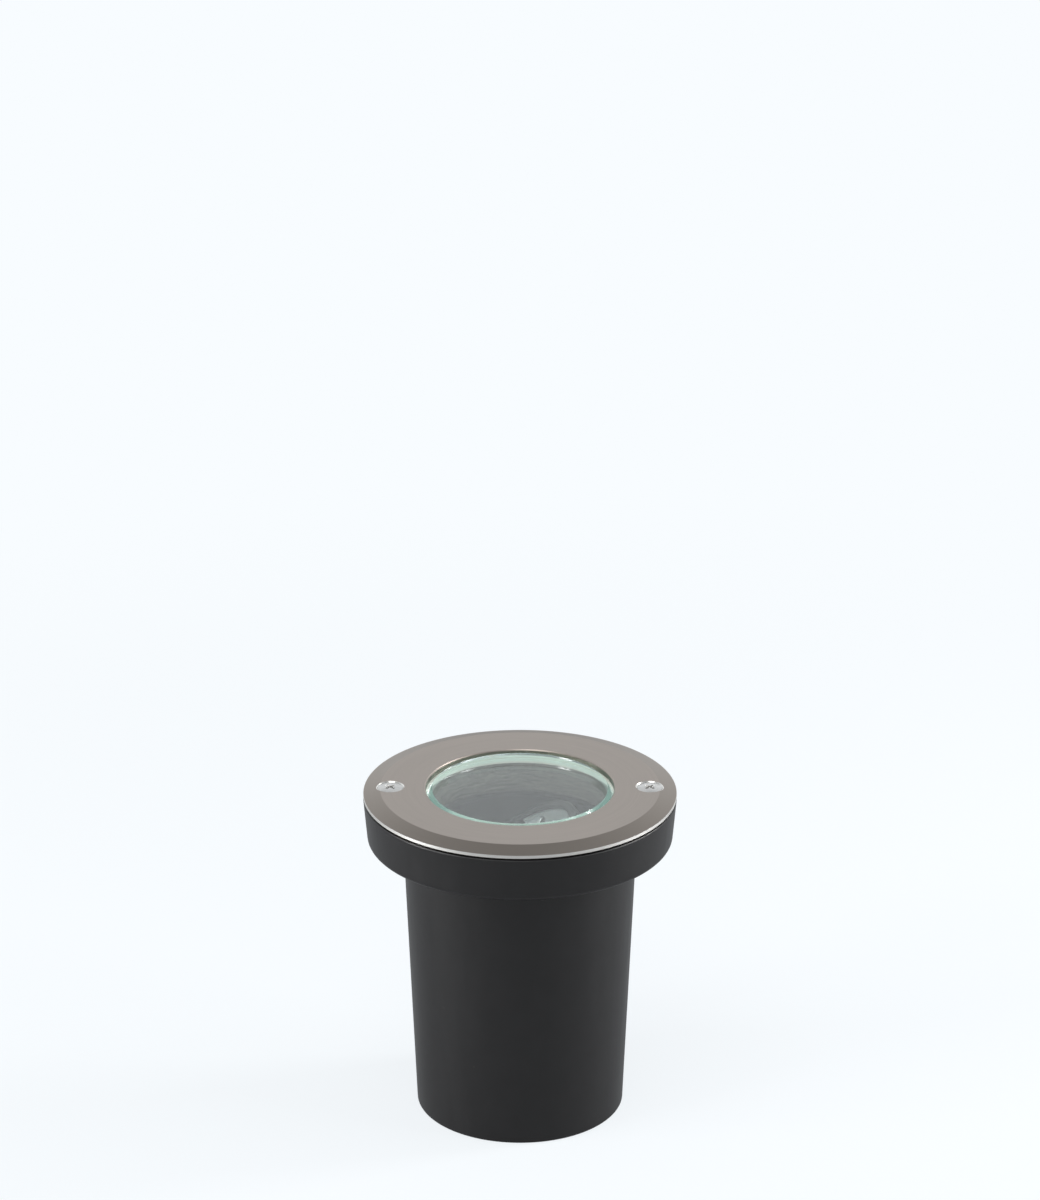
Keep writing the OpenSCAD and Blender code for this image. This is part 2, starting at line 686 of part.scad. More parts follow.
module pivot_rivets() {
    inner_head_y = tilt_bore_r - rivet_head_t - seat_gap;
    color([0.82, 0.82, 0.82]) translate([0, 0, pivot_z]) difference() {
        union() {
            side_pins(inner_head_y, pivot_wall_r + rivet_head_t, rivet_d / 2);
            side_pins(inner_head_y, inner_head_y + rivet_head_t, rivet_head_d / 2);
            side_pins(pivot_wall_r + 2 * fit, pivot_wall_r + rivet_head_t, rivet_head_d / 2);
        }
        side_pins(inner_head_y - cut, pivot_wall_r + cut, rivet_bore_d / 2);
    }
}

module pivot_spacers() {
    spacer_r = cage_screw_drop - cage_screw_head_d / 2 - seat_gap;
    color([0.85, 0.85, 0.82]) translate([0, 0, pivot_z]) difference() {
        side_pins(tilt_r + fit, gimbal_bore_r(pivot_z) - seat_gap, spacer_r);
        side_pins(tilt_r - cut, gimbal_bore_r(pivot_z) + cut, rivet_d / 2 + fit);
    }
}

module tilt_ring() {
    color([0.08, 0.08, 0.08]) tilted() difference() {
        turned([[tilt_bore_r, tilt_foot_u], [tilt_r, tilt_foot_u],
            [tilt_r, tilt_rim_rise - edge], [tilt_r - edge, tilt_rim_rise],
            [tilt_bore_r - tilt_lip_w + edge, tilt_rim_rise],
            [tilt_bore_r - tilt_lip_w, tilt_rim_rise - edge],
            [tilt_bore_r - tilt_lip_w, optic_top_u], [tilt_bore_r, optic_top_u]]);
        side_pins(tilt_bore_r - cut, tilt_r + cut, rivet_d / 2 + fit);
        translate([0, 0, -cage_screw_drop])
            side_pins(tilt_bore_r - cut, tilt_r + cut, cage_screw_d / 2 + fit);
    }
}

// A wedge between two angles, tall enough to cut the lower tier
module tier_wedge(mid, angle, z, h) {
    reach = 2 * tier_r;
    translate([0, 0, z]) linear_extrude(height = h) polygon(concat([[0, 0]],
        [for (i = [-1, 0, 1]) [reach * cos(mid + i * angle / 2), reach * sin(mid + i * angle / 2)]]));
}

module lamp_cage() {
    window_mid = 217;
    slot_mid = 289;
    turn = 360 / cage_window_count;
    slot_u = drum_top_u - edge / 2;
    color([0.05, 0.05, 0.05]) tilted() difference() {
        union() {
            ring_at(cage_u, cage_t, tilt_r - edge, tier_bore_r);
            ring_at(tier_foot_u, cage_tier_h + cage_t / 2, tier_r, tier_bore_r);
            intersection() {
                ring_at(cage_u, tilt_foot_u + cage_tab_h - cage_u, tab_r, tab_r - cage_t);
                translate([-cage_tab_w / 2, -tilt_r, cage_u])
                    cube([cage_tab_w, 2 * tilt_r, 2 * tilt_ring_h]);
            }
        }
        for (i = [0:cage_window_count - 1])
            tier_wedge(window_mid + i * turn, cage_window_angle, tier_foot_u - cut, cage_tier_h + cut);
        for (i = [0:cage_window_count - 1]) rotate(slot_mid + i * turn)
            translate([tier_bore_r - cut, -cage_slot_len / 2, slot_u - cage_slot_h / 2])
                cube([cage_t + 2 * cut, cage_slot_len, cage_slot_h]);
        translate([0, 0, -cage_screw_drop])
            side_pins(tab_r - cage_t - cut, tab_r + cut, cage_screw_d / 2 + fit / 2);
    }
}

module cage_screws() {
    recess_w = 0.7;
    recess_share = 0.6;
    shank_y = tab_r - cage_t - edge;
    color([0.8, 0.8, 0.8]) tilted() translate([0, 0, -cage_screw_drop]) difference() {
        union() {
            side_pins(shank_y, tilt_r + edge, cage_screw_d / 2);
            for (side = [0, 180]) rotate(side) translate([0, -tilt_r, 0]) rotate([90, 0, 0])
                turned([[0, 0], [cage_screw_head_d / 2, 0],
                    [cage_screw_head_d / 2, cage_screw_head_h / 2],
                    [cage_screw_head_d / 2 - edge, cage_screw_head_h - edge / 2],
                    [cage_screw_head_d / 2 - 2 * edge, cage_screw_head_h], [0, cage_screw_head_h]]);
        }
        for (side = [0, 180], turn = [0, 90]) rotate(side)
            translate([0, -tilt_r - cage_screw_head_h, 0]) rotate([0, turn, 0])
                cube([cage_screw_head_d * recess_share, 2 * recess_w, recess_w], center = true);
    }
}

module module_pad() {
    color([0.3, 0.3, 0.3]) tilted()
        ring_at(tilt_foot_u, plate_u - tilt_foot_u, notch_y, notch_y - 2 * cage_t);
}

module lamp_optic() {
    color([0.9, 0.93, 0.95, 0.5]) tilted() {
        translate([0, 0, optic_u]) cylinder(h = optic_t, r = optic_r);
        for (spot = guide_spots) translate([spot[0], spot[1], guide_tip_u])
            cylinder(h = guide_h + optic_t / 2, r1 = guide_tip_d / 2, r2 = guide_d / 2);
    }
}

// Places of the light guides, the centre one first
guide_spots = concat([[0, 0]], [for (i = [0:guide_count - 1])
    [guide_circle_r * cos(i * 360 / guide_count), guide_circle_r * sin(i * 360 / guide_count)]]);

module circuit_board() {
    color([0.93, 0.93, 0.9]) tilted() translate([0, 0, board_u]) cylinder(h = board_t, r = board_r);
}

module light_emitters() {
    color([0.95, 0.8, 0.25]) tilted() for (spot = guide_spots)
        translate([spot[0] - chip_w / 2, spot[1] - chip_w / 2, board_top_u])
            cube([chip_w, chip_w, chip_h]);
}

module heat_sink() {
    drum_r = drum_d / 2;
    rim_u = drum_top_u + sink_groove_h;
    neck_r = drum_r - sink_groove_depth;
    color([0.78, 0.78, 0.79]) tilted() difference() {
        union() {
            translate([0, 0, plate_u]) cylinder(h = sink_plate_t, r = optic_r);
            ring_at(plate_u, optic_u - plate_u, optic_r, optic_r - sink_cup_wall);
            translate([0, 0, drum_u]) cylinder(h = plate_u + edge - drum_u, r = stem_d / 2);
            turned([[0, drum_u], [drum_r - edge, drum_u], [drum_r, drum_u + edge],
                [drum_r, drum_top_u - edge / 2], [drum_r - edge / 2, drum_top_u],
                [neck_r, drum_top_u], [neck_r, rim_u], [drum_r, rim_u],
                [drum_r, rim_u + sink_rim_h - edge / 2],
                [drum_r - edge / 2, rim_u + sink_rim_h], [0, rim_u + sink_rim_h]]);
        }
        translate([0, 0, drum_u - cut]) cylinder(h = plate_u - edge - drum_u + cut, r = pot_bore_r);
        for (side = [0, 180]) rotate(side) translate([-notch_w / 2, notch_y, plate_u - cut])
            cube([notch_w, optic_r, optic_u - plate_u + 2 * cut]);
        on_circle(fin_count, drum_r - fin_groove_depth, 0)
            translate([0, -fin_groove_w / 2, drum_u - cut])
                cube([fin_groove_depth + cut, fin_groove_w, drum_h + cut + sink_groove_h / 2]);
    }
}

module driver_pot() {
    pot_top_u = plate_u - edge - seat_gap;
    color([0.12, 0.12, 0.12]) tilted() difference() {
        translate([0, 0, pot_top_u - driver_h]) cylinder(h = driver_h, r = driver_d / 2);
        for (side = [-1, 1]) translate([side * pin_pitch / 2, 0, pot_top_u - driver_h - cut])
            cylinder(h = driver_h / 2 + cut, r = pin_d / 2 + fit);
    }
}

module contact_pins() {
    pot_top_u = plate_u - edge - seat_gap;
    color([0.78, 0.63, 0.3]) tilted() for (side = [-1, 1])
        translate([side * pin_pitch / 2, 0, pot_top_u - driver_h - pin_len])
            cylinder(h = pin_len + driver_h / 2, r = pin_d / 2);
}

module silicone_gasket() {
    groove_r = glass_r + fit;
    shoulder_z = glass_z + glass_disc_h + fit;
    lip_r = glass_raised_r + fit + soft_edge;
    color([0.85, 0.88, 0.86, 0.8]) turned(concat(
        [[lip_r, gasket_z]],
        arc_points([gasket_r - gasket_round, gasket_z + gasket_round], gasket_round, -90, 0),
        arc_points([gasket_r - gasket_round, gasket_top_z - gasket_round], gasket_round, 0, 90),
        [[lip_r, shoulder_z + gasket_lip_t], [lip_r, shoulder_z], [groove_r, shoulder_z],
            [groove_r, glass_z], [lip_r, glass_z]]));
}

module glass_lens() {
    shoulder_z = glass_z + glass_disc_h;
    color([0.8, 0.92, 0.88, 0.4]) turned([[0, glass_z], [glass_r - edge, glass_z],
        [glass_r, glass_z + edge], [glass_r, shoulder_z], [glass_raised_r, shoulder_z],
        [glass_raised_r, glass_top_z - glass_bevel_h],
        [glass_raised_r - glass_bevel_w, glass_top_z], [0, glass_top_z]]);
}

module cover_ring() {
    recess_r = gasket_r + gasket_gap;
    flat_r = ring_r - ring_bevel_w;
    hole_r = ring_hole_d / 2;
    sink_r = countersink_d / 2;
    color([0.72, 0.7, 0.67]) difference() {
        turned([[ring_opening_r, ring_z + ring_recess], [recess_r, ring_z + ring_recess],
            [recess_r, ring_z], [ring_r - edge, ring_z], [ring_r, ring_z + edge],
            [ring_r, ring_z + ring_edge_h], [flat_r, ring_top_z],
            [ring_opening_r + edge, ring_top_z], [ring_opening_r, ring_top_z - edge]]);
        on_circle(2, bolt_circle_r, 0) {
            translate([0, 0, ring_z - cut]) cylinder(h = ring_t + 2 * cut, r = hole_r);
            translate([0, 0, ring_top_z - (sink_r - hole_r)])
                cylinder(h = sink_r - hole_r + cut, r1 = hole_r, r2 = sink_r + cut);
        }
    }
}

module cover_studs() {
    stud_foot_z = flange_z - washer_t - nut_h + edge / 2;
    thread_r = stud_d / 2;
    color([0.66, 0.64, 0.6]) on_circle(stud_count, bolt_circle_r, 180 / stud_count)
        turned([[0, stud_foot_z], [thread_r - edge, stud_foot_z], [thread_r, stud_foot_z + edge],
            [thread_r, ring_z], [0, ring_z]]);
}

module cover_screws() {
    head_r = screw_head_d / 2;
    core_r = screw_core_d / 2;
    head_sink = countersink_d / 2 - head_r - seat_gap;
    head_top_z = ring_top_z - head_sink;
    tip_z = collar_z + edge / 2;
    tip_len = 4;
    recess_w = 1.1;
    recess_len = 4.8;
    recess_depth_z = 1.5;
    dome_rim_share = 0.8;
    dome_rim_rise_share = 0.55;
    dome_mid_share = 0.5;
    dome_mid_rise_share = 0.85;
    color([0.8, 0.79, 0.77]) on_circle(2, bolt_circle_r, 0) difference() {
        turned([[0, tip_z], [core_r, tip_z + tip_len], [core_r, head_top_z - (head_r - core_r)],
            [head_r, head_top_z],
            [head_r * dome_rim_share, head_top_z + screw_dome_h * dome_rim_rise_share],
            [head_r * dome_mid_share, head_top_z + screw_dome_h * dome_mid_rise_share],
            [0, head_top_z + screw_dome_h]]);
        for (turn = [45, 135]) rotate(turn)
            translate([-recess_len / 2, -recess_w / 2, head_top_z - recess_depth_z])
                cube([recess_len, recess_w, recess_depth_z + screw_dome_h + cut]);
    }
}

mounting_sleeve();
lamp_housing();
stud_nuts();
spring_washers();
gland_body();
gland_washer();
gland_locknut();
gland_seal();
gland_cap();
terminal_block();
terminal_tubes();
terminal_screws();
block_screws();
gimbal_ring();
pivot_rivets();
pivot_spacers();
tilt_ring();
lamp_cage();
cage_screws();
module_pad();
lamp_optic();
circuit_board();
light_emitters();
heat_sink();
driver_pot();
contact_pins();
silicone_gasket();
glass_lens();
cover_ring();
cover_studs();
cover_screws();
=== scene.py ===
"""Looks of the in ground well light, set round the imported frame.

The frame carries every solid. This script dresses each node with its finish, makes the
threaded screws and studs in place of the plain ones, and adds the floor, the lamps and the
camera. Sizes of finishes and of meshes under construction are in millimetres. Finished
meshes and objects, the lamps and the floor are in metres.
"""

from __future__ import annotations

import json
import logging
import math
from dataclasses import dataclass
from enum import Enum
from typing import Any, ClassVar, Mapping, Sequence, Union

import bmesh
import bpy
from mathutils import Matrix, Vector

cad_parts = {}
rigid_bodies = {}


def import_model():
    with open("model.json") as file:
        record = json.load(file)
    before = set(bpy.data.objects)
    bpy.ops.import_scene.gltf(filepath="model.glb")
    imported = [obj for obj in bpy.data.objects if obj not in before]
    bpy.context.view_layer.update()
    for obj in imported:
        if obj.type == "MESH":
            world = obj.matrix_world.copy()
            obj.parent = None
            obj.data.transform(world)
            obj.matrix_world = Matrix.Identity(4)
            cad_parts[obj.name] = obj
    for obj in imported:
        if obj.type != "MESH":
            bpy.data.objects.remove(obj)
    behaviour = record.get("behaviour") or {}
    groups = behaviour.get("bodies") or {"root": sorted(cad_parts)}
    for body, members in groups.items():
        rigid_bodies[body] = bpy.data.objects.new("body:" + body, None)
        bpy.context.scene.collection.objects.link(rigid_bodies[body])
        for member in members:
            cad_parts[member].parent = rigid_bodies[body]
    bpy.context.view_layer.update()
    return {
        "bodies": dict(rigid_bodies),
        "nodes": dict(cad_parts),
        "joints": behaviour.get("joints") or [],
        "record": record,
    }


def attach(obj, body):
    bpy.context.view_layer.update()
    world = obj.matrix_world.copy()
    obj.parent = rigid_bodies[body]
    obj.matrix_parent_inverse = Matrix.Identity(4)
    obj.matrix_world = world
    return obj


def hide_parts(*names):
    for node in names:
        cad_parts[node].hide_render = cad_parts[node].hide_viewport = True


LOG = logging.getLogger("well_light")
MM = 0.001
FULL_TURN = 2 * math.pi

Color = tuple[float, float, float]
Place = tuple[float, float, float]
Point = tuple[float, float]
Span = tuple[float, float]

BLACK: Color = (0.0, 0.0, 0.0)
# The middle of a noise from 0 to 1, and the span in which most of it lies.
NOISE_MEAN = 0.5
NOISE_SPAN: Span = (0.3, 0.7)


def shade(red: int, green: int, blue: int) -> Color:
    """Turns a colour as seen on a screen into the linear colour that a shader takes.

    Args:
        red: Red from 0 to 255.
        green: Green from 0 to 255.
        blue: Blue from 0 to 255.

    Returns:
        The linear colour, by the sRGB curve.
    """
    def linear(value: int) -> float:
        """Returns one channel as linear light."""
        share = value / 255
        return share / 12.92 if share <= 0.04045 else ((share + 0.055) / 1.055) ** 2.4

    return linear(red), linear(green), linear(blue)


class Signal:
    """A value that changes over a surface: a node socket with arithmetic."""

    def __init__(self, bench: "Bench", socket: bpy.types.NodeSocket) -> None:
        """Keeps the socket and the bench whose nodes it belongs to."""
        self.bench = bench
        self.socket = socket

    def _math(self, operation: str, left: "Operand", right: "Operand") -> "Signal":
        """Adds one Math node and returns its result."""
        return self.bench.signal("ShaderNodeMath", {"operation": operation}, {0: left, 1: right})

    def __add__(self, other: "Operand") -> "Signal":
        """Returns the sum."""
        return self._math("ADD", self, other)

    def __radd__(self, other: "Operand") -> "Signal":
        """Returns the sum, with a number first."""
        return self._math("ADD", other, self)

    def __sub__(self, other: "Operand") -> "Signal":
        """Returns the difference."""
        return self._math("SUBTRACT", self, other)

    def __rsub__(self, other: "Operand") -> "Signal":
        """Returns the difference, with a number first."""
        return self._math("SUBTRACT", other, self)

    def __mul__(self, other: "Operand") -> "Signal":
        """Returns the product."""
        return self._math("MULTIPLY", self, other)

    def __rmul__(self, other: "Operand") -> "Signal":
        """Returns the product, with a number first."""
        return self._math("MULTIPLY", other, self)

    def __truediv__(self, other: "Operand") -> "Signal":
        """Returns the quotient."""
        return self._math("DIVIDE", self, other)

    def __rtruediv__(self, other: "Operand") -> "Signal":
        """Returns the quotient, with a number first."""
        return self._math("DIVIDE", other, self)

    def __pow__(self, other: "Operand") -> "Signal":
        """Returns the power."""
        return self._math("POWER", self, other)

    def __rpow__(self, other: "Operand") -> "Signal":
        """Returns the power, with a number first."""
        return self._math("POWER", other, self)

    def larger(self, other: "Operand") -> "Signal":
        """Returns the larger of two values."""
        return self._math("MAXIMUM", self, other)

    def step(self, low: float, high: float) -> "Signal":
        """Eases from 0 to 1 between two values.

        Args:
            low: Where the result is 0.
            high: Where the result is 1. It may lie below low.

        Returns:
            The eased mask.
        """
        return self.bench.signal(
            "ShaderNodeMapRange", {"interpolation_type": "SMOOTHSTEP"},
            {"Value": self, "From Min": low, "From Max": high})

    def band(self, low: float, high: float, fade: float) -> "Signal":
        """Returns a mask that is 1 between two values and fades out beyond them."""
        return self.step(low - fade, low) * self.step(high + fade, high)


Operand = Union[Signal, float, int]


class Bench:
    """One material or world under construction, with the nodes that its finish needs."""

    NOISE_ROUGHNESS: ClassVar[float] = 0.55
    LINE_ROUGHNESS: ClassVar[float] = 0.6
    LINE_DETAIL: ClassVar[float] = 3.0
    LINE_RADIUS: ClassVar[float] = 40.0
    LEAST_RADIUS: ClassVar[float] = 0.01
    # Where a Mix node that mixes colours has its inputs and its output.
    MIX_MASK, MIX_LOW, MIX_HIGH, MIX_RESULT = 0, 6, 7, 2

    def __init__(self, tree: bpy.types.NodeTree) -> None:
        """Empties the node tree.

        Args:
            tree: The material's or the world's node tree.
        """
        self.tree = tree
        self.tree.nodes.clear()
        self._place: Signal | None = None

    @classmethod
    def for_material(cls, name: str) -> tuple["Bench", bpy.types.Material]:
        """Makes a new material with an empty node tree.

        Args:
            name: The material's name.

        Returns:
            The bench and the material.
        """
        material = bpy.data.materials.new(name)
        material.use_nodes = True
        return cls(material.node_tree), material

    def node(self, kind: str, settings: Mapping[str, Any] | None = None,
             values: Mapping[Union[int, str], Any] | None = None) -> bpy.types.Node:
        """Adds a node.

        Args:
            kind: The node's type.
            settings: Its properties, which are set first.
            values: Numbers, colours or signals for its sockets.

        Returns:
            The node.
        """
        made = self.tree.nodes.new(kind)
        for name, value in (settings or {}).items():
            setattr(made, name, value)
        for key, value in (values or {}).items():
            if isinstance(value, Signal):
                self.tree.links.new(value.socket, made.inputs[key])
            elif isinstance(made.inputs[key], bpy.types.NodeSocketColor) and len(value) == 3:
                made.inputs[key].default_value = (*value, 1.0)
            else:
                made.inputs[key].default_value = value
        return made

    def signal(self, kind: str, settings: Mapping[str, Any] | None = None,
               values: Mapping[Union[int, str], Any] | None = None,
               output: Union[int, str] = 0) -> Signal:
        """Adds a node and returns one of its outputs as a signal."""
        return Signal(self, self.node(kind, settings, values).outputs[output])

    def place(self) -> Signal:
        """Gives the place on the piece.

        Returns:
            The piece's own Object coordinates, in metres.
        """
        if self._place is None:
            self._place = self.signal("ShaderNodeTexCoord", output="Object")
        return self._place

    def axes(self) -> tuple[Signal, Signal, Signal]:
        """Gives the place on the piece axis by axis.

        Returns:
            The x, y and z of the place, in millimetres.
        """
        split = self.node("ShaderNodeSeparateXYZ", values={0: self.place()})
        x, y, z = (Signal(self, socket) * (1 / MM) for socket in split.outputs)
        return x, y, z

    def radius(self) -> Signal:
        """Returns the distance from the axis of the light in millimetres."""
        x, y, _ = self.axes()
        return (x * x + y * y) ** 0.5

    def noise(self, size: float, detail: float = 2.0, stretch: Point = (1.0, 1.0)) -> Signal:
        """Makes soft noise.

        Args:
            size: Size of its spots in millimetres.
            detail: How many finer layers it has.
            stretch: How much longer the spots are across and along the axis of the light.

        Returns:
            The noise, from 0 to 1.
        """
        across, along = (1 / (size * MM * share) for share in stretch)
        mapped = self.signal("ShaderNodeMapping", {"vector_type": "POINT"},
                             {"Vector": self.place(), "Scale": (across, across, along)})
        return self.signal("ShaderNodeTexNoise", {"noise_dimensions": "3D"},
                           {"Vector": mapped, "Scale": 1.0, "Detail": detail,
                            "Roughness": self.NOISE_ROUGHNESS})

    def turning(self, pitch: float, length: float) -> Signal:
        """Makes noise drawn out along circles about the axis, as a lathe or a disc leaves it.

        Args:
            pitch: Width of the lines in millimetres.
            length: Length of the lines in millimetres, at LINE_RADIUS from the axis.

        Returns:
            The noise, from 0 to 1.
        """
        x, y, z = self.axes()
        radius = self.radius().larger(self.LEAST_RADIUS)
        around = self.LINE_RADIUS / length
        wound = self.signal("ShaderNodeCombineXYZ", values={
            0: x / radius * around, 1: y / radius * around, 2: (radius + z) * (1 / pitch)})
        return self.signal("ShaderNodeTexNoise", {"noise_dimensions": "3D"},
                           {"Vector": wound, "Scale": 1.0, "Detail": self.LINE_DETAIL,
                            "Roughness": self.LINE_ROUGHNESS})

    def cells(self, size: float) -> Signal:
        """Makes a field of grains.

        Args:
            size: Size of the grains in millimetres.

        Returns:
            The distance from the middle of the nearest grain.
        """
        mapped = self.signal("ShaderNodeMapping", {"vector_type": "POINT"},
                             {"Vector": self.place(), "Scale": (1 / (size * MM),) * 3})
        return self.signal("ShaderNodeTexVoronoi", {"feature": "F1"},
                           {"Vector": mapped, "Scale": 1.0}, "Distance")

    def mix(self, mask: Signal, low: Any, high: Any) -> Signal:
        """Mixes two colours.

        Args:
            mask: The mask.
            low: The colour where it is 0.
            high: The colour where it is 1.

        Returns:
            The mixed colour.
        """
        return self.signal("ShaderNodeMix", {"data_type": "RGBA", "clamp_factor": True},
                           {self.MIX_MASK: mask, self.MIX_LOW: low, self.MIX_HIGH: high},
                           self.MIX_RESULT)

    def relief(self, height: Signal, depth: float, under: Signal | None = None) -> Signal:
        """Turns a height from 0 to 1 into a surface direction.

        Args:
            height: The height.
            depth: The depth of the relief in millimetres.
            under: A relief that this one lies on.

        Returns:
            The surface direction.
        """
        values: dict[Union[int, str], Any] = {
            "Strength": 1.0, "Distance": depth * MM, "Height": height}
        if under is not None:
            values["Normal"] = under
        return self.signal("ShaderNodeBump", values=values)

    def finish(self, shader: Signal) -> None:
        """Ends the material with its shader."""
        self.node("ShaderNodeOutputMaterial", values={"Surface": shader})


@dataclass(frozen=True)
class Finish:
    """An even finish: a colour that wanders a little, a gloss and a fine grain."""

    slot: str
    color: Color
    roughness: float
    metallic: float = 0.0
    specular: float = 0.5
    wander: float = 0.12
    wander_size: float = 9.0
    wander_detail: float = 3.0
    grain_size: float = 0.5
    grain_depth: float = 0.012
    gloss_spread: float = 0.1

    def make(self) -> bpy.types.Material:
        """Makes the material.

        Returns:
            The finished material, named for its slot.
        """
        bench, material = Bench.for_material(self.slot)
        bench.finish(bench.signal("ShaderNodeBsdfPrincipled", values=self.sockets(bench)))
        return material

    def sockets(self, bench: Bench) -> dict[str, Any]:
        """Says what the shader's sockets take.

        Args:
            bench: The bench on which the material is made.

        Returns:
            Numbers, colours and signals by socket.
        """
        patches = bench.noise(self.wander_size, self.wander_detail)
        return {
            "Base Color": self.tint(bench, self.color, patches),
            "Metallic": self.metallic,
            "Roughness": self.gloss(patches),
            "Specular IOR Level": self.specular,
            "Normal": bench.relief(bench.noise(self.grain_size), self.grain_depth),
        }

    def tint(self, bench: Bench, color: Color, patches: Signal) -> Signal:
        """Lets a colour wander round its mean.

        Args:
            bench: The bench on which the material is made.
            color: The mean.
            patches: The noise that it follows.

        Returns:
            The colour, from darker to lighter.
        """
        darker = tuple(channel * (1 - self.wander) for channel in color)
        lighter = tuple(channel * (1 + self.wander) for channel in color)
        return bench.mix(patches.step(*NOISE_SPAN), darker, lighter)

    def gloss(self, marks: Signal) -> Signal:
        """Returns the roughness, spread round its mean by the marks of the surface."""
        return self.roughness + (marks - NOISE_MEAN) * self.gloss_spread


@dataclass(frozen=True)
class SleeveFinish(Finish):
    """Satin black moulded plastic with soft flow marks and a few light specks."""

    speck: Color = shade(120, 112, 104)
    speck_size: float = 0.9
    speck_detail: float = 1.0
    speck_span: Span = (0.77, 0.84)
    speck_share: float = 0.5
    scuff_size: float = 14.0
    scuff_span: Span = (0.5, 0.7)
    flow_size: float = 5.0
    flow_stretch: Point = (1.0, 7.0)

    def sockets(self, bench: Bench) -> dict[str, Any]:
        """Says what the shader's sockets take.

        Args:
            bench: The bench on which the material is made.

        Returns:
            Numbers, colours and signals by socket.
        """
        base = super().sockets(bench)
        specks = bench.noise(self.speck_size, self.speck_detail).step(*self.speck_span)
        scuffs = bench.noise(self.scuff_size).step(*self.scuff_span)
        base["Base Color"] = bench.mix(
            specks * scuffs * self.speck_share, base["Base Color"], self.speck)
        base["Roughness"] = self.gloss(bench.noise(self.flow_size, stretch=self.flow_stretch))
        return base


@dataclass(frozen=True)
class HousingFinish(Finish):
    """Grained black-grey casting, with a turned bore of bare brownish grey metal."""

    bore_color: Color = shade(138, 132, 124)
    bore_dark: Color = shade(76, 72, 67)
    bore_roughness: float = 0.44
    bore_metallic: float = 0.6
    throat_radius: float = 36.6
    throat_foot: float = 97.5
    throat_fade: float = 0.2
    mouth_radius: float = 40.3
    mouth_foot: float = 109.6
    mouth_fade: float = 0.1
    wall_fade: float = 0.1
    line_pitch: float = 0.3
    line_length: float = 7.0
    line_depth: float = 0.04
    line_share: float = 0.65
    blotch_size: float = 1.1
    blotch_detail: float = 4.0
    grit_size: float = 0.62
    grit_span: Span = (0.1, 0.75)
    grit_depth: float = 0.1
    glint: Color = shade(92, 90, 88)
    glint_size: float = 0.45
    glint_detail: float = 1.0
    glint_span: Span = (0.62, 0.75)
    glint_share: float = 0.5

    def sockets(self, bench: Bench) -> dict[str, Any]:
        """Says what the shader's sockets take.

        Args:
            bench: The bench on which the material is made.

        Returns:
            Numbers, colours and signals by socket.
        """
        base = super().sockets(bench)
        throat = self.hollow(bench, self.throat_radius, self.throat_foot, self.throat_fade)
        mouth = self.hollow(bench, self.mouth_radius, self.mouth_foot, self.mouth_fade)
        bore = throat.larger(mouth)
        lines = bench.turning(self.line_pitch, self.line_length)
        blotches = bench.noise(self.blotch_size, self.blotch_detail)
        worn = lines * self.line_share + blotches * (1 - self.line_share)
        metal = bench.mix(worn.step(*NOISE_SPAN), self.bore_dark, self.bore_color)
        glints = bench.noise(self.glint_size, self.glint_detail).step(*self.glint_span)
        coat = bench.mix(glints * self.glint_share, base["Base Color"], self.glint)
        grit = 1 - bench.cells(self.grit_size).step(*self.grit_span)
        cast = bench.relief(grit * (1 - bore), self.grit_depth, base["Normal"])
        base["Base Color"] = bench.mix(bore, coat, metal)
        base["Metallic"] = bore * self.bore_metallic
        base["Roughness"] = bore * self.bore_roughness + (1 - bore) * base["Roughness"]
        base["Normal"] = bench.relief(lines * bore, self.line_depth, cast)
        return base

    def hollow(self, bench: Bench, radius: float, foot: float, fade: float) -> Signal:
        """Returns a mask of what lies inside a radius and above a foot that fades in."""
        _, _, z = bench.axes()
        return bench.radius().step(radius + self.wall_fade, radius) * z.step(foot - fade, foot)


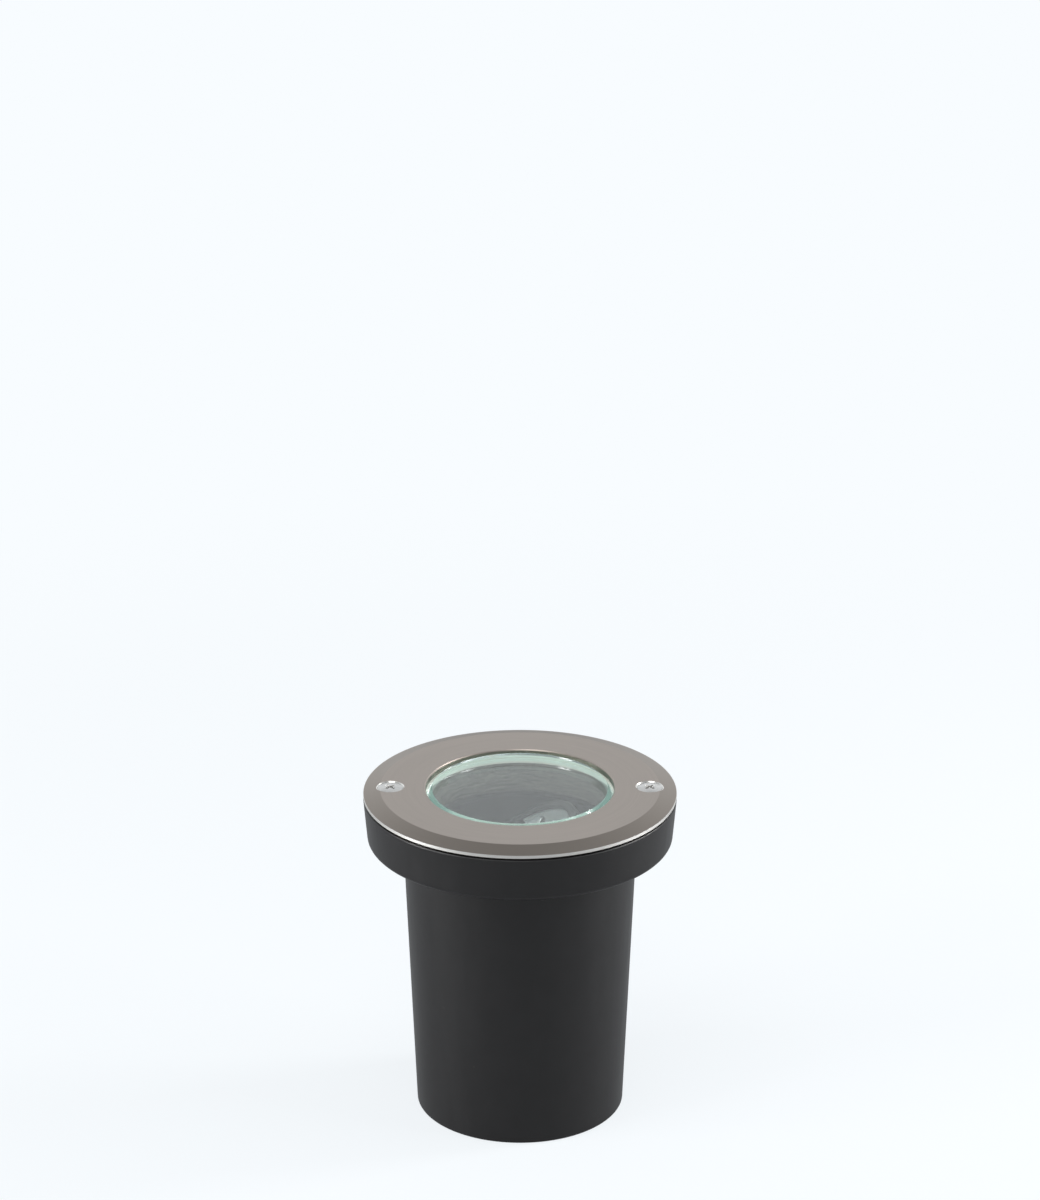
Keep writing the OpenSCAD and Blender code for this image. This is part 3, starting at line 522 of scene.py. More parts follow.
@dataclass(frozen=True)
class RingFinish(Finish):
    """Stainless steel, brushed round and round, with polished countersinks. The outer rim and
    the countersinks carry a painted highlight, and the bevel and the inner edge carry painted
    shade.
    """

    # Painted shade: edge_color makes the inner edge of the ring darker than its top.
    edge_color: Color = shade(134, 127, 118)
    edge_radius: float = 33.3
    edge_fade: float = 0.15
    edge_roughness: float = 0.36
    # Painted shade: the outer bevel is coloured darker than the flat top.
    painted_shade_bevel_color: Color = shade(158, 149, 141)
    bevel_radius: float = 48.9
    bevel_fade: float = 0.4
    # Painted highlight: the outer rim and the countersinks are coloured near white.
    painted_highlight_color: Color = shade(242, 240, 236)
    rim_radius: float = 54.9
    rim_fade: float = 0.08
    sink_circle: float = 45.54
    sink_radius: float = 5.0
    sink_fade: float = 0.12
    sink_roughness: float = 0.24
    brush_pitch: float = 0.22
    brush_length: float = 26.0
    sweep_pitch: float = 1.6
    sweep_length: float = 60.0
    cloud_detail: float = 2.0
    stroke_shares: tuple[float, float, float] = (0.5, 0.3, 0.2)
    polish: float = 0.8

    def sockets(self, bench: Bench) -> dict[str, Any]:
        """Says what the shader's sockets take.

        Args:
            bench: The bench on which the material is made.

        Returns:
            Numbers, colours and signals by socket.
        """
        radius = bench.radius()
        inner = radius.step(self.edge_radius, self.edge_radius - self.edge_fade)
        rim = radius.step(self.rim_radius, self.rim_radius + self.rim_fade)
        bevel = radius.step(self.bevel_radius, self.bevel_radius + self.bevel_fade)
        across, along, _ = bench.axes()
        side = across.larger(0 - across) - self.sink_circle
        reach = (side * side + along * along) ** 0.5
        sink = reach.step(self.sink_radius, self.sink_radius - self.sink_fade)
        brushed = bench.turning(self.brush_pitch, self.brush_length)
        layers = (brushed, bench.turning(self.sweep_pitch, self.sweep_length),
                  bench.noise(self.wander_size, self.cloud_detail))
        fine, broad, clouds = (
            layer * share for layer, share in zip(layers, self.stroke_shares))
        strokes = fine + broad + clouds
        # Painted shade on the outer bevel.
        top = bench.mix(bevel, self.tint(bench, self.color, strokes), self.painted_shade_bevel_color)
        # Painted shade on the inner edge of the ring.
        faces = bench.mix(inner, top, self.edge_color)
        edged = inner * self.edge_roughness + (1 - inner) * self.gloss(strokes)
        lines = brushed * (1 - inner.larger(sink) * self.polish)
        return {
            # Painted highlight on the outer rim and in the countersinks.
            "Base Color": bench.mix(rim.larger(sink), faces, self.painted_highlight_color),
            "Metallic": self.metallic,
            "Roughness": sink * self.sink_roughness + (1 - sink) * edged,
            "Normal": bench.relief(lines, self.grain_depth),
        }


@dataclass(frozen=True)
class TurnedFinish(Finish):
    """Bare metal with fine lines from a lathe or a die."""

    line_pitch: float = 0.3
    line_length: float = 12.0

    def sockets(self, bench: Bench) -> dict[str, Any]:
        """Says what the shader's sockets take.

        Args:
            bench: The bench on which the material is made.

        Returns:
            Numbers, colours and signals by socket.
        """
        base = super().sockets(bench)
        lines = bench.turning(self.line_pitch, self.line_length)
        base["Roughness"] = self.gloss(lines)
        base["Normal"] = bench.relief(lines, self.grain_depth)
        return base


@dataclass(frozen=True)
class RivetFinish(TurnedFinish):
    """Bright plate with painted shade: the bores of the rivets and the flat screw ends are
    coloured black.
    """

    # Painted shade: the colour of the rivet bores and the flat screw ends.
    painted_shade_color: Color = shade(20, 19, 18)
    dark_roughness: float = 0.3
    rivet_axis: Point = (0.0, 86.4)
    rivet_bore: float = 1.3
    screw_axis: Point = (2.94, 81.87)
    screw_face: float = 1.95
    disc_fade: float = 0.05

    def sockets(self, bench: Bench) -> dict[str, Any]:
        """Says what the shader's sockets take.

        Args:
            bench: The bench on which the material is made.

        Returns:
            Numbers, colours and signals by socket.
        """
        base = super().sockets(bench)
        # Mask of the painted shade in the rivet bores and on the flat screw ends.
        painted_shade_mask = self.disc(bench, self.rivet_axis, self.rivet_bore).larger(
            self.disc(bench, self.screw_axis, self.screw_face))
        base["Base Color"] = bench.mix(painted_shade_mask, base["Base Color"], self.painted_shade_color)
        base["Roughness"] = base["Roughness"] + painted_shade_mask * self.dark_roughness
        return base

    def disc(self, bench: Bench, axis: Point, radius: float) -> Signal:
        """Masks what lies near an axis along y.

        Args:
            bench: The bench on which the material is made.
            axis: Where the axis crosses the x and z plane.
            radius: How far the mask reaches.

        Returns:
            The mask.
        """
        x, _, z = bench.axes()
        across, rise = x - axis[0], z - axis[1]
        reach = (across * across + rise * rise) ** 0.5
        return reach.step(radius + self.disc_fade, radius)


@dataclass(frozen=True)
class CoatFinish(Finish):
    """Satin black coat with a fine brownish speckle that shows where light falls."""

    fleck: Color = shade(88, 80, 69)
    fleck_size: float = 0.5
    fleck_span: Span = (0.52, 0.76)
    fleck_metallic: float = 0.3
    fleck_roughness: float = 0.12
    fleck_depth: float = 0.06
    inner_color: Color = shade(40, 40, 39)
    inner_radius: float = 0.0
    inner_fade: float = 0.1

    def sockets(self, bench: Bench) -> dict[str, Any]:
        """Says what the shader's sockets take.

        Args:
            bench: The bench on which the material is made.

        Returns:
            Numbers, colours and signals by socket.
        """
        base = super().sockets(bench)
        flecks = bench.noise(self.fleck_size).step(*self.fleck_span)
        inner = bench.radius().step(self.inner_radius, self.inner_radius - self.inner_fade)
        coat = bench.mix(inner, base["Base Color"], self.inner_color)
        metal = flecks * (1 - inner) * self.fleck_metallic
        base["Base Color"] = bench.mix(metal, coat, self.fleck)
        base["Metallic"] = metal
        base["Roughness"] = base["Roughness"] + flecks * self.fleck_roughness
        base["Normal"] = bench.relief(flecks, self.fleck_depth, base["Normal"])
        return base


@dataclass(frozen=True)
class SiliconeFinish(Finish):
    """Frosted silicone with a painted green band, which stands in for the green edge of the
    glass seen through it, and a painted glow, though the gasket is no lamp.
    """

    # Painted: this green stands in for the edge of the glass seen through the silicone. It is
    # not the silicone's own colour.
    green: Color = shade(124, 148, 139)
    band_foot: float = 111.7
    band_top: float = 116.0
    band_fade: float = 1.1
    painted_band_share: float = 0.55
    milk: float = 0.4
    milk_reach: float = 2.5
    # Painted glow: light from the surroundings shining through the silicone, given as emission
    # though the gasket is no lamp.
    painted_glow: Color = shade(139, 142, 137)

    def sockets(self, bench: Bench) -> dict[str, Any]:
        """Says what the shader's sockets take.

        Args:
            bench: The bench on which the material is made.

        Returns:
            Numbers, colours and signals by socket.
        """
        base = super().sockets(bench)
        _, _, z = bench.axes()
        band = z.band(self.band_foot, self.band_top, self.band_fade)
        # Painted green band where the edge of the glass would show through the silicone.
        base["Base Color"] = bench.mix(band * self.painted_band_share, base["Base Color"], self.green)
        base["Subsurface Weight"] = self.milk
        base["Subsurface Radius"] = (1.0, 1.0, 1.0)
        base["Subsurface Scale"] = self.milk_reach * MM
        # Painted glow, though the gasket is no lamp.
        base["Emission Color"] = self.painted_glow
        base["Emission Strength"] = 1.0
        return base


@dataclass(frozen=True)
class ClearFinish(Finish):
    """Clear glass or a clear moulding. A shadow ray passes it, so that light gets in. Its edge
    can carry a painted glow.
    """

    bend: float = 1.5
    grain_detail: float = 1.0
    edge_color: Color = shade(200, 232, 222)
    edge_radius: float = 60.0
    edge_fade: float = 0.3
    edge_roughness: float = 0.12
    # Painted glow at the edge of the glass, though the glass is no lamp.
    painted_edge_glow: Color = BLACK
    shadow: Color = shade(250, 255, 253)

    def make(self) -> bpy.types.Material:
        """Makes the material.

        Returns:
            The finished material, named for its slot.
        """
        bench, material = Bench.for_material(self.slot)
        glass = bench.signal("ShaderNodeBsdfPrincipled", values=self.sockets(bench))
        passed = bench.signal("ShaderNodeBsdfTransparent", values={"Color": self.shadow})
        ray = bench.signal("ShaderNodeLightPath", output="Is Shadow Ray")
        bench.finish(bench.signal("ShaderNodeMixShader", values={0: ray, 1: glass, 2: passed}))
        return material

    def sockets(self, bench: Bench) -> dict[str, Any]:
        """Says what the shader's sockets take.

        Args:
            bench: The bench on which the material is made.

        Returns:
            Numbers, colours and signals by socket.
        """
        edge = bench.radius().step(self.edge_radius - self.edge_fade, self.edge_radius)
        smear = bench.noise(self.wander_size, self.wander_detail)
        grain = bench.noise(self.grain_size, self.grain_detail)
        return {
            "Base Color": bench.mix(edge, self.color, self.edge_color),
            "Roughness": (self.roughness + smear * self.gloss_spread
                          + edge * self.edge_roughness),
            "IOR": self.bend,
            "Transmission Weight": 1.0,
            # Painted glow at the edge of the glass.
            "Emission Color": bench.mix(edge, BLACK, self.painted_edge_glow),
            "Emission Strength": 1.0,
            "Normal": bench.relief(grain, self.grain_depth),
        }


FINISHES: tuple[Finish, ...] = (
    SleeveFinish("sleeve_plastic", shade(20, 19, 20), 0.36, grain_size=0.35, grain_depth=0.006,
                 gloss_spread=0.12, wander=0.08, specular=0.46),
    HousingFinish("housing_casting", shade(23, 22, 22), 0.46, grain_size=0.5,
                  grain_depth=0.05, wander=0.18, wander_size=3.0, specular=0.4),
    RingFinish("ring_steel", shade(175, 165, 157), 0.36, metallic=1.0, wander=0.07,
               wander_size=24.0, grain_depth=0.008, gloss_spread=0.16),
    TurnedFinish("stud_steel", shade(178, 172, 164), 0.4, metallic=0.9, wander=0.15,
                 wander_size=2.0),
    TurnedFinish("screw_steel", shade(214, 213, 211), 0.3, metallic=0.8, wander=0.08,
                 wander_size=2.0, grain_depth=0.004),
    TurnedFinish("nut_steel", shade(186, 184, 181), 0.3, metallic=1.0, wander_size=3.0),
    TurnedFinish("nut_black", shade(60, 58, 56), 0.4, metallic=1.0, wander_size=3.0),
    SiliconeFinish("gasket_silicone", shade(150, 149, 143), 0.46, wander=0.03,
                   grain_size=0.6, grain_depth=0.01),
    # The lens glass has a painted green glow at its edge.
    ClearFinish("lens_glass", shade(248, 254, 252), 0.012, gloss_spread=0.02,
                grain_size=30.0, grain_depth=0.004, edge_color=shade(234, 249, 244),
                edge_radius=31.0, painted_edge_glow=shade(74, 92, 88)),
    CoatFinish("gimbal_black", shade(5, 5, 5), 0.29, grain_depth=0.01, specular=0.09,
               inner_radius=28.6),
    CoatFinish("cage_black", shade(14, 14, 14), 0.4, grain_size=0.4, grain_depth=0.006,
               fleck=shade(44, 42, 40), specular=0.2),
    RivetFinish("rivet_chrome", shade(222, 221, 219), 0.14, metallic=1.0, wander=0.05,
                grain_depth=0.003),
    Finish("spacer_nylon", shade(214, 212, 203), 0.5, wander=0.05),
    TurnedFinish("sink_aluminium", shade(236, 236, 238), 0.42, metallic=0.35, wander=0.06,
                 wander_size=3.0, line_pitch=0.4),
    ClearFinish("optic_clear", shade(245, 248, 250), 0.03, grain_size=1.2,
                grain_depth=0.01, bend=1.49),
    Finish("board_white", shade(222, 222, 216), 0.35, wander=0.04, grain_depth=0.006),
    Finish("emitter_yellow", shade(238, 196, 62), 0.3, wander=0.06, wander_size=1.5),
    Finish("pot_black", shade(28, 28, 29), 0.5, grain_depth=0.02, specular=0.3),
    TurnedFinish("contact_brass", shade(202, 168, 96), 0.28, metallic=1.0),
    Finish("seal_rubber", shade(26, 26, 27), 0.62, grain_depth=0.015, specular=0.3),
    Finish("gland_nylon", shade(31, 31, 33), 0.48, grain_depth=0.015, specular=0.3),
    Finish("terminal_white", shade(218, 218, 210), 0.38, wander=0.04),
)


@dataclass(frozen=True)
class Thread:
    """One thread ridge round the axis.

    Attributes:
        root: Radius at which the ridge is sunk into the core.
        crest: Outer radius.
        foot: Height of its start.
        top: Height of its end.
        pitch: Rise for each turn.
        flank: Height of the ridge at its root.
        steps: Number of steps for each turn.
        crest_span: Where the crest starts and ends, as shares of that height.
    """

    root: float
    crest: float
    foot: float
    top: float
    pitch: float
    flank: float
    steps: int = 24
    crest_span: Span = (0.42, 0.58)

    def profile(self) -> list[Point]:
        """Gives the outline of the ridge where it starts.

        Returns:
            Radius and height of its corners, from the root round the crest to the root.
        """
        low, high = (self.foot + self.flank * share for share in self.crest_span)
        return [(self.root, self.foot), (self.crest, low), (self.crest, high),
                (self.root, self.foot + self.flank)]


@dataclass(frozen=True)
class Recess:
    """A cross recess in a screw head.

    Attributes:
        length: Length of each bar of the cross at its top.
        width: Width of each bar at its top.
        depth: Depth under the edge of the head.
        spare: How far the punch stands out over that edge.
        foot_shares: Shares of length and width that are left at the foot.
        turns: Angles of the bars about the axis in degrees.
    """

    length: float = 4.9
    width: float = 1.05
    depth: float = 1.7
    spare: float = 1.0
    foot_shares: Point = (0.45, 0.75)
    turns: tuple[float, float] = (45.0, 135.0)


class Shaper:
    """One closed mesh under construction, in millimetres."""

    WELD_REACH: ClassVar[float] = 0.0005

    def __init__(self) -> None:
        """Starts with an empty mesh."""
        self.bm = bmesh.new()

    def turn(self, outline: Sequence[Point], steps: int = 48) -> "Shaper":
        """Turns an outline about the axis.

        Args:
            outline: Radius and height of each point, from the foot on the axis to the top on it.
            steps: Number of steps round.

        Returns:
            This shaper.
        """
        points = [self.bm.verts.new((radius, 0, height)) for radius, height in outline]
        edges = [self.bm.edges.new(pair) for pair in zip(points, points[1:])]
        bmesh.ops.spin(self.bm, geom=[*points, *edges], cent=(0, 0, 0), axis=(0, 0, 1),
                       angle=FULL_TURN, steps=steps, use_merge=True, use_duplicate=False)
        bmesh.ops.remove_doubles(self.bm, verts=self.bm.verts, dist=self.WELD_REACH)
        return self

    def wind(self, thread: Thread) -> "Shaper":
        """Winds a thread ridge round the axis.

        Args:
            thread: The thread.

        Returns:
            This shaper.
        """
        turns = (thread.top - thread.foot) / thread.pitch
        ends = [self.bm.verts.new((radius, 0, height)) for radius, height in thread.profile()]
        face = self.bm.faces.new(ends)
        bmesh.ops.spin(self.bm, geom=[*ends, *face.edges, face], cent=(0, 0, 0),
                       axis=(0, 0, 1), dvec=(0, 0, thread.pitch / thread.steps),
                       angle=FULL_TURN * turns, steps=round(thread.steps * turns),
                       use_merge=False, use_duplicate=False)
        return self

    def taper(self, foot: float, top: float, least: float) -> "Shaper":
        """Draws the mesh in towards the axis below a height.

        Args:
            foot: Height at which the radii have their least share.
            top: Height from which they are whole.
            least: That share.

        Returns:
            This shaper.
        """
        for vert in self.bm.verts:
            share = min(max((vert.co.z - foot) / (top - foot), 0.0), 1.0)
            factor = least + (1 - least) * share
            vert.co.x *= factor
            vert.co.y *= factor
        return self

    def punch(self, recess: Recess, head_top: float, turn: float) -> "Shaper":
        """Adds one bar of the punch for a cross recess, narrower at its foot.

        Args:
            recess: The recess.
            head_top: Height of the edge of the head that it is sunk into.
            turn: The bar's angle about the axis in degrees.

        Returns:
            This shaper.
        """
        foot, top = head_top - recess.depth, head_top + recess.spare
        middle = (top + foot) / 2
        made = bmesh.ops.create_cube(self.bm, size=1.0)["verts"]
        bmesh.ops.scale(self.bm, vec=(recess.length, recess.width, top - foot), verts=made)
        bmesh.ops.translate(self.bm, vec=(0, 0, middle), verts=made)
        low = [vert for vert in made if vert.co.z < middle]
        bmesh.ops.scale(self.bm, vec=(*recess.foot_shares, 1.0), verts=low)
        bmesh.ops.rotate(self.bm, verts=made, cent=(0, 0, 0),
                         matrix=Matrix.Rotation(math.radians(turn), 3, "Z"))
        return self

    def copies(self, radius: float, angles: Sequence[float]) -> "Shaper":
        """Puts a copy of the mesh at each angle on a circle, in place of the mesh itself.

        Args:
            radius: Radius of the circle.
            angles: Angles in degrees.

        Returns:
            This shaper.
        """
        first = self.bm.verts[:] + self.bm.edges[:] + self.bm.faces[:]
        for angle in angles:
            copied = bmesh.ops.duplicate(self.bm, geom=first)["geom"]
            verts = [item for item in copied if isinstance(item, bmesh.types.BMVert)]
            turned = Matrix.Rotation(math.radians(angle), 4, "Z") @ Matrix.Translation(
                (radius, 0, 0))
            bmesh.ops.transform(self.bm, matrix=turned, verts=verts)
        old = [item for item in first if isinstance(item, bmesh.types.BMVert)]
        bmesh.ops.delete(self.bm, geom=old, context="VERTS")
        return self

    def mesh(self, name: str) -> bpy.types.Mesh:
        """Ends the shaping.

        Args:
            name: The mesh's name.

        Returns:
            The mesh, in metres, with its faces outwards.
        """
        bmesh.ops.recalc_face_normals(self.bm, faces=self.bm.faces)
        bmesh.ops.scale(self.bm, vec=(MM, MM, MM), verts=self.bm.verts)
        mesh = bpy.data.meshes.new(name)
        self.bm.to_mesh(mesh)
        self.bm.free()
        return mesh


def cut_away(mesh: bpy.types.Mesh, punches: Sequence[bpy.types.Mesh]) -> bpy.types.Mesh:
    """Cuts punches out of a mesh.

    Args:
        mesh: The closed mesh.
        punches: Closed meshes that are taken away from it, one after another.

    Returns:
        The cut mesh.
    """
    work = bpy.data.objects.new("work", mesh)
    bpy.context.scene.collection.objects.link(work)
    tools = [bpy.data.objects.new("punch", punch) for punch in punches]
    for tool in tools:
        bpy.context.scene.collection.objects.link(tool)
        cut = work.modifiers.new("cut", "BOOLEAN")
        cut.operation = "DIFFERENCE"
        cut.solver = "EXACT"
        cut.object = tool
    graph = bpy.context.evaluated_depsgraph_get()
    result = bpy.data.meshes.new_from_object(work.evaluated_get(graph))
    for item in [work, *tools]:
        bpy.data.objects.remove(item)
    return result


class Body(Enum):
    """The bodies of the frame that the pieces made here ride on."""

    COVER = "cover"
    SCREWS = "screws"


@dataclass(frozen=True)
class Piece:
    """A finished piece of the scene and where it belongs."""

    CREASE: ClassVar[float] = 28.0

    name: str
    body: Body
    slot: str
    replaced: str

    def place(self, mesh: bpy.types.Mesh, material: bpy.types.Material) -> None:
        """Puts the piece into the scene.

        Args:
            mesh: Its mesh, in metres.
            material: Its finish.
        """
        mesh.shade_smooth()
        mesh.set_sharp_from_angle(angle=math.radians(self.CREASE))
        mesh.materials.clear()
        mesh.materials.append(material)
        made = bpy.data.objects.new(self.name, mesh)
        bpy.context.scene.collection.objects.link(made)
        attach(made, self.body.value)
        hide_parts(self.replaced)
        LOG.info("%s: %d faces on body %s", self.name, len(mesh.polygons), self.body.value)


@dataclass
class Fixings:
    """Equal threaded fixings round the cover ring."""

    piece: Piece
    angles: tuple[float, ...]
    circle: float = 45.54

    def build(self, material: bpy.types.Material) -> None:
        """Makes one fixing and repeats it on the circle.

        Args:
            material: Their finish.
        """
        shaper = Shaper()
        for part in self.parts():
            shaper.bm.from_mesh(part)
        bmesh.ops.scale(shaper.bm, vec=(1 / MM, 1 / MM, 1 / MM), verts=shaper.bm.verts)
        shaper.copies(self.circle, self.angles)
        self.piece.place(shaper.mesh(self.piece.name), material)

    def parts(self) -> list[bpy.types.Mesh]:
        """Returns the meshes of one fixing, in metres, round the axis."""
        raise NotImplementedError


@dataclass
class CoverScrews(Fixings):
    """The two countersunk cover screws, with a coarse thread and a tapered tip.

    Small lengths count from the end of the tip, from the shoulder where the tip meets the
    shank, from the neck under the head, or from the edge of the head.
    """

    piece: Piece = Piece("threaded_cover_screws", Body.SCREWS, "screw_steel", "cover_screws")
    angles: tuple[float, ...] = (0.0, 180.0)
    head_radius: float = 4.5
    head_top: float = 121.0
    head_edge: float = 0.22
    cone_slope: float = 0.95
    dome: float = 0.37
    dome_shares: tuple[float, ...] = (0.97, 0.85, 0.7, 0.5, 0.28, 0.0)
    recess: Recess = Recess()
    neck_flare: float = 0.12
    neck_length: float = 0.3
    core: float = 1.42
    crest: float = 1.9
    pitch: float = 1.75
    flank: float = 0.78
    sunk: float = 0.12
    first_turn: float = 0.5
    last_turn: float = 0.9
    tip: float = 102.17
    tip_length: float = 4.2
    tip_share: float = 0.9
    tip_blend: float = 0.8
    point_share: float = 0.2
    point_length: float = 0.3
    taper_foot: float = 0.2
    taper_top: float = 0.6
    taper_share: float = 0.12

    def parts(self) -> list[bpy.types.Mesh]:
        """Makes the head with its shank, and the thread.

        Returns:
            Both meshes, in metres, round the axis.
        """
        neck = self.head_top - (self.head_radius - self.core) * self.cone_slope
        shoulder = self.tip + self.tip_length
        dome = [(self.head_radius * share, self.head_top + self.dome * (1 - share ** 2))
                for share in self.dome_shares]
        outline = [(0.0, self.tip),
                   (self.core * self.point_share, self.tip + self.point_length),
                   (self.core * self.tip_share, shoulder),
                   (self.core, shoulder + self.tip_blend),
                   (self.core, neck - self.neck_length),
                   (self.core + self.neck_flare, neck),
                   (self.head_radius, self.head_top - self.head_edge),
                   (self.head_radius, self.head_top), *dome]
        punches = [Shaper().punch(self.recess, self.head_top, turn).mesh("bar")
                   for turn in self.recess.turns]
        head = cut_away(Shaper().turn(outline).mesh("screw"), punches)
        ridge = Shaper().wind(Thread(self.core - self.sunk, self.crest,
                                     self.tip + self.first_turn, neck - self.last_turn,
                                     self.pitch, self.flank))
        ridge.taper(self.tip - self.taper_foot, shoulder + self.taper_top, self.taper_share)
        return [head, ridge.mesh("ridge")]


@dataclass
class CoverStuds(Fixings):
    """The four studs under the cover ring, with a fine thread."""

    piece: Piece = Piece("threaded_cover_studs", Body.COVER, "stud_steel", "cover_studs")
    angles: tuple[float, ...] = (45.0, 135.0, 225.0, 315.0)
    foot: float = 104.46
    top: float = 118.34
    core: float = 1.64
    core_steps: int = 32
    chamfer: float = 0.12
    chamfer_length: float = 0.15
    crest: float = 1.99
    pitch: float = 0.7
    flank: float = 0.66
    sunk: float = 0.1
    first_turn: float = 0.12
    last_turn: float = 0.7
    thread_steps: int = 20

    def parts(self) -> list[bpy.types.Mesh]:
        """Makes the core and the thread.

        Returns:
            Both meshes, in metres, round the axis.
        """
        outline = [(0.0, self.foot), (self.core - self.chamfer, self.foot),
                   (self.core, self.foot + self.chamfer_length), (self.core, self.top),
                   (0.0, self.top)]
        core = Shaper().turn(outline, self.core_steps).mesh("stud")
        ridge = Shaper().wind(Thread(self.core - self.sunk, self.crest,
                                     self.foot + self.first_turn, self.top - self.last_turn,
                                     self.pitch, self.flank, self.thread_steps))
        return [core, ridge.mesh("ridge")]


@dataclass(frozen=True)
class Softbox:
    """A soft white lamp outside the picture."""

    name: str
    place: Place
    aim: Place
    width: float
    height: float
    power: float

    def put(self) -> None:
        """Puts the lamp into the scene."""
        lamp = bpy.data.lights.new(self.name, "AREA")
        lamp.shape = "RECTANGLE"
        lamp.size = self.width
        lamp.size_y = self.height
        lamp.energy = self.power
        made = bpy.data.objects.new(self.name, lamp)
        made.location = self.place
        made.rotation_euler = (Vector(self.aim) - Vector(self.place)).to_track_quat(
            "-Z", "Y").to_euler()
        made.visible_camera = False
        bpy.context.scene.collection.objects.link(made)
        LOG.info("softbox %s: %.1f W", self.name, self.power)


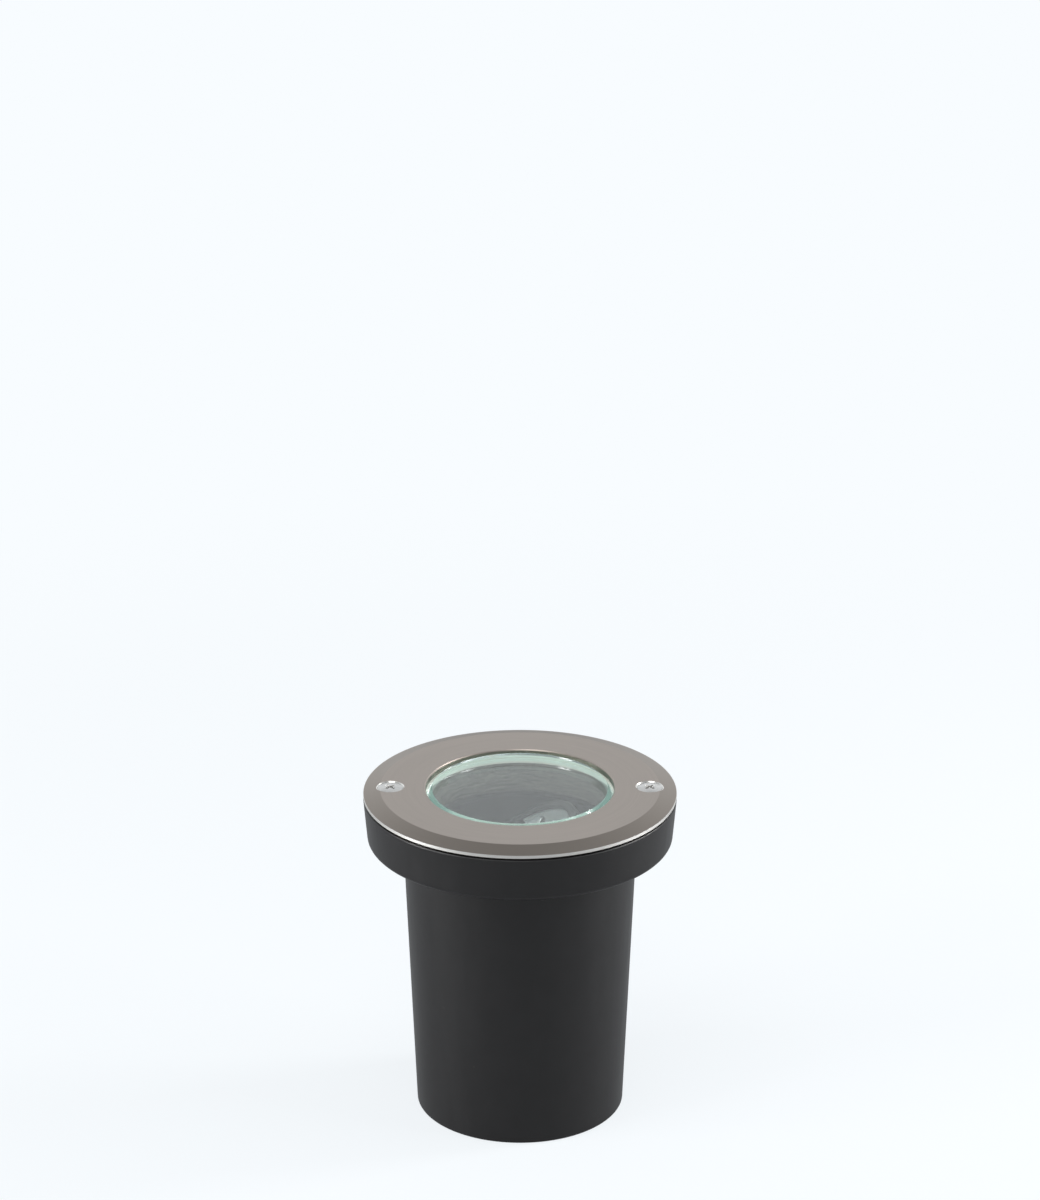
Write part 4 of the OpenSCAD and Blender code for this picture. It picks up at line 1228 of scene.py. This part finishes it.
@dataclass
class Studio:
    """The pale floor, the pale surroundings and the soft lamps."""

    paper: Color = shade(248, 252, 255)
    floor_width: float = 16.0
    floor_drop: float = 0.0001
    floor_gloss: float = 0.3
    shadow_share: float = 0.2
    shadow_reach: Span = (650.0, 250.0)
    sky: float = 0.42
    horizon_gloss: float = 0.95
    zenith_gloss: float = 0.32
    zenith_rise: Span = (0.3, 0.95)
    softboxes: tuple[Softbox, ...] = (
        Softbox("lamp_left", (-1.25, -0.75, 0.5), (0, 0, 0.14), 0.4, 1.0, 8.0),
        Softbox("lamp_right", (1.35, -0.45, 0.5), (0, 0, 0.14), 0.35, 1.0, 5.0),
        Softbox("lamp_top", (-0.3, -0.75, 1.55), (0, 0, 0.1), 0.9, 0.9, 6.0),
        Softbox("lamp_back", (1.25, 0.3, 0.8), (0, 0, 0.22), 0.3, 0.3, 8.0),
        Softbox("strip_left", (-1.0, -0.24, 0.12), (0, 0, 0.2), 0.24, 0.22, 8.0),
        Softbox("strip_right", (1.05, 0.0, 0.12), (0, 0, 0.2), 0.4, 0.22, 7.5),
    )

    def build(self) -> None:
        """Makes the floor, the surroundings and the lamps."""
        self._floor()
        self._world()
        for softbox in self.softboxes:
            softbox.put()

    def _floor(self) -> None:
        """Makes the floor."""
        bm = bmesh.new()
        bmesh.ops.create_grid(bm, x_segments=1, y_segments=1, size=self.floor_width / 2)
        bmesh.ops.translate(bm, vec=(0, 0, -self.floor_drop), verts=bm.verts)
        mesh = bpy.data.meshes.new("floor")
        bm.to_mesh(mesh)
        bm.free()
        mesh.materials.append(self._floor_paper())
        floor = bpy.data.objects.new("floor", mesh)
        bpy.context.scene.collection.objects.link(floor)

    def _floor_paper(self) -> bpy.types.Material:
        """Makes the floor's material, which glows in the paper's colour.

        Near the light a share of it is lit instead, so that it keeps a soft shadow.

        Returns:
            The material.
        """
        bench, material = Bench.for_material("floor_paper")
        rays = bench.node("ShaderNodeLightPath")
        glossy = Signal(bench, rays.outputs["Is Glossy Ray"])
        passed = Signal(bench, rays.outputs["Is Transmission Ray"])
        seen = Signal(bench, rays.outputs["Is Camera Ray"]).larger(glossy).larger(passed)
        dimmed = glossy * (1 - passed) * (1 - self.floor_gloss)
        near = bench.radius().step(*self.shadow_reach)
        matt = bench.signal("ShaderNodeBsdfDiffuse", values={"Color": self.paper})
        lit = bench.signal("ShaderNodeEmission",
                           values={"Color": self.paper, "Strength": 1 - dimmed})
        bench.finish(bench.signal("ShaderNodeMixShader", values={
            0: seen * (1 - near * self.shadow_share), 1: matt, 2: lit}))
        return material

    def _world(self) -> None:
        """Makes the surroundings: the paper's colour to the camera, softer as light."""
        world = bpy.data.worlds.new("surroundings")
        bpy.context.scene.world = world
        world.use_nodes = True
        bench = Bench(world.node_tree)
        rays = bench.node("ShaderNodeLightPath")
        seen = Signal(bench, rays.outputs["Is Camera Ray"]).larger(
            Signal(bench, rays.outputs["Is Transmission Ray"]))
        glossy = Signal(bench, rays.outputs["Is Glossy Ray"])
        way = bench.node("ShaderNodeSeparateXYZ", values={
            0: bench.signal("ShaderNodeTexCoord", output="Generated")})
        rise = Signal(bench, way.outputs["Z"]).step(*self.zenith_rise)
        shine = self.horizon_gloss + rise * (self.zenith_gloss - self.horizon_gloss)
        other = glossy * shine + (1 - glossy) * self.sky
        light = bench.signal("ShaderNodeBackground", values={
            "Color": self.paper, "Strength": seen + (1 - seen) * other})
        bench.node("ShaderNodeOutputWorld", values={"Surface": light})


@dataclass
class Viewpoint:
    """The camera, which looks from the front and a little from above.

    The frame is high enough for the pieces when they are lifted off.
    """

    elevation: float = 21.0
    distance: float = 1.4
    aim_height: float = 191.5 * MM
    frame_pixels: int = 1200
    pixels_per_mm: float = 2.9
    film: float = 36.0
    reach: float = 40.0

    def put(self) -> None:
        """Puts the camera into the scene."""
        frame_height = self.frame_pixels / self.pixels_per_mm * MM
        camera = bpy.data.cameras.new("front_camera")
        camera.sensor_fit = "VERTICAL"
        camera.sensor_height = self.film
        camera.lens = self.film * self.distance / frame_height
        camera.clip_end = self.reach
        tilt = math.radians(self.elevation)
        made = bpy.data.objects.new("front_camera", camera)
        made.location = (0.0, -self.distance * math.cos(tilt),
                         self.aim_height + self.distance * math.sin(tilt))
        made.rotation_euler = (math.pi / 2 - tilt, 0.0, 0.0)
        bpy.context.scene.collection.objects.link(made)
        bpy.context.scene.camera = made


class WellLight:
    """The whole light: the frame's nodes in their finishes, and the pieces made here."""

    def __init__(self, frame: Mapping[str, Any]) -> None:
        """Keeps the frame and makes each finish once."""
        self.frame = frame
        self.materials = {finish.slot: finish.make() for finish in FINISHES}

    def dress_nodes(self) -> None:
        """Gives every node of the frame the finish of its slot."""
        for row in self.frame["record"]["subparts"]:
            node = self.frame["nodes"][row["node"]]
            for slot in node.material_slots:
                slot.material = self.materials[row["material_slot"]]
            LOG.info("%s in %s", row["node"], row["material_slot"])

    def add_fixings(self) -> None:
        """Makes the threaded fixings that stand for the plain ones."""
        for fixings in (CoverScrews(), CoverStuds()):
            fixings.build(self.materials[fixings.piece.slot])


def main() -> None:
    """Builds the scene round the frame."""
    logging.basicConfig(level=logging.INFO, format="%(name)s: %(message)s")
    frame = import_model()
    light = WellLight(frame)
    light.dress_nodes()
    light.add_fixings()
    Studio().build()
    Viewpoint().put()
    bpy.context.scene.view_settings.view_transform = "Standard"


if __name__ == "__main__":
    main()
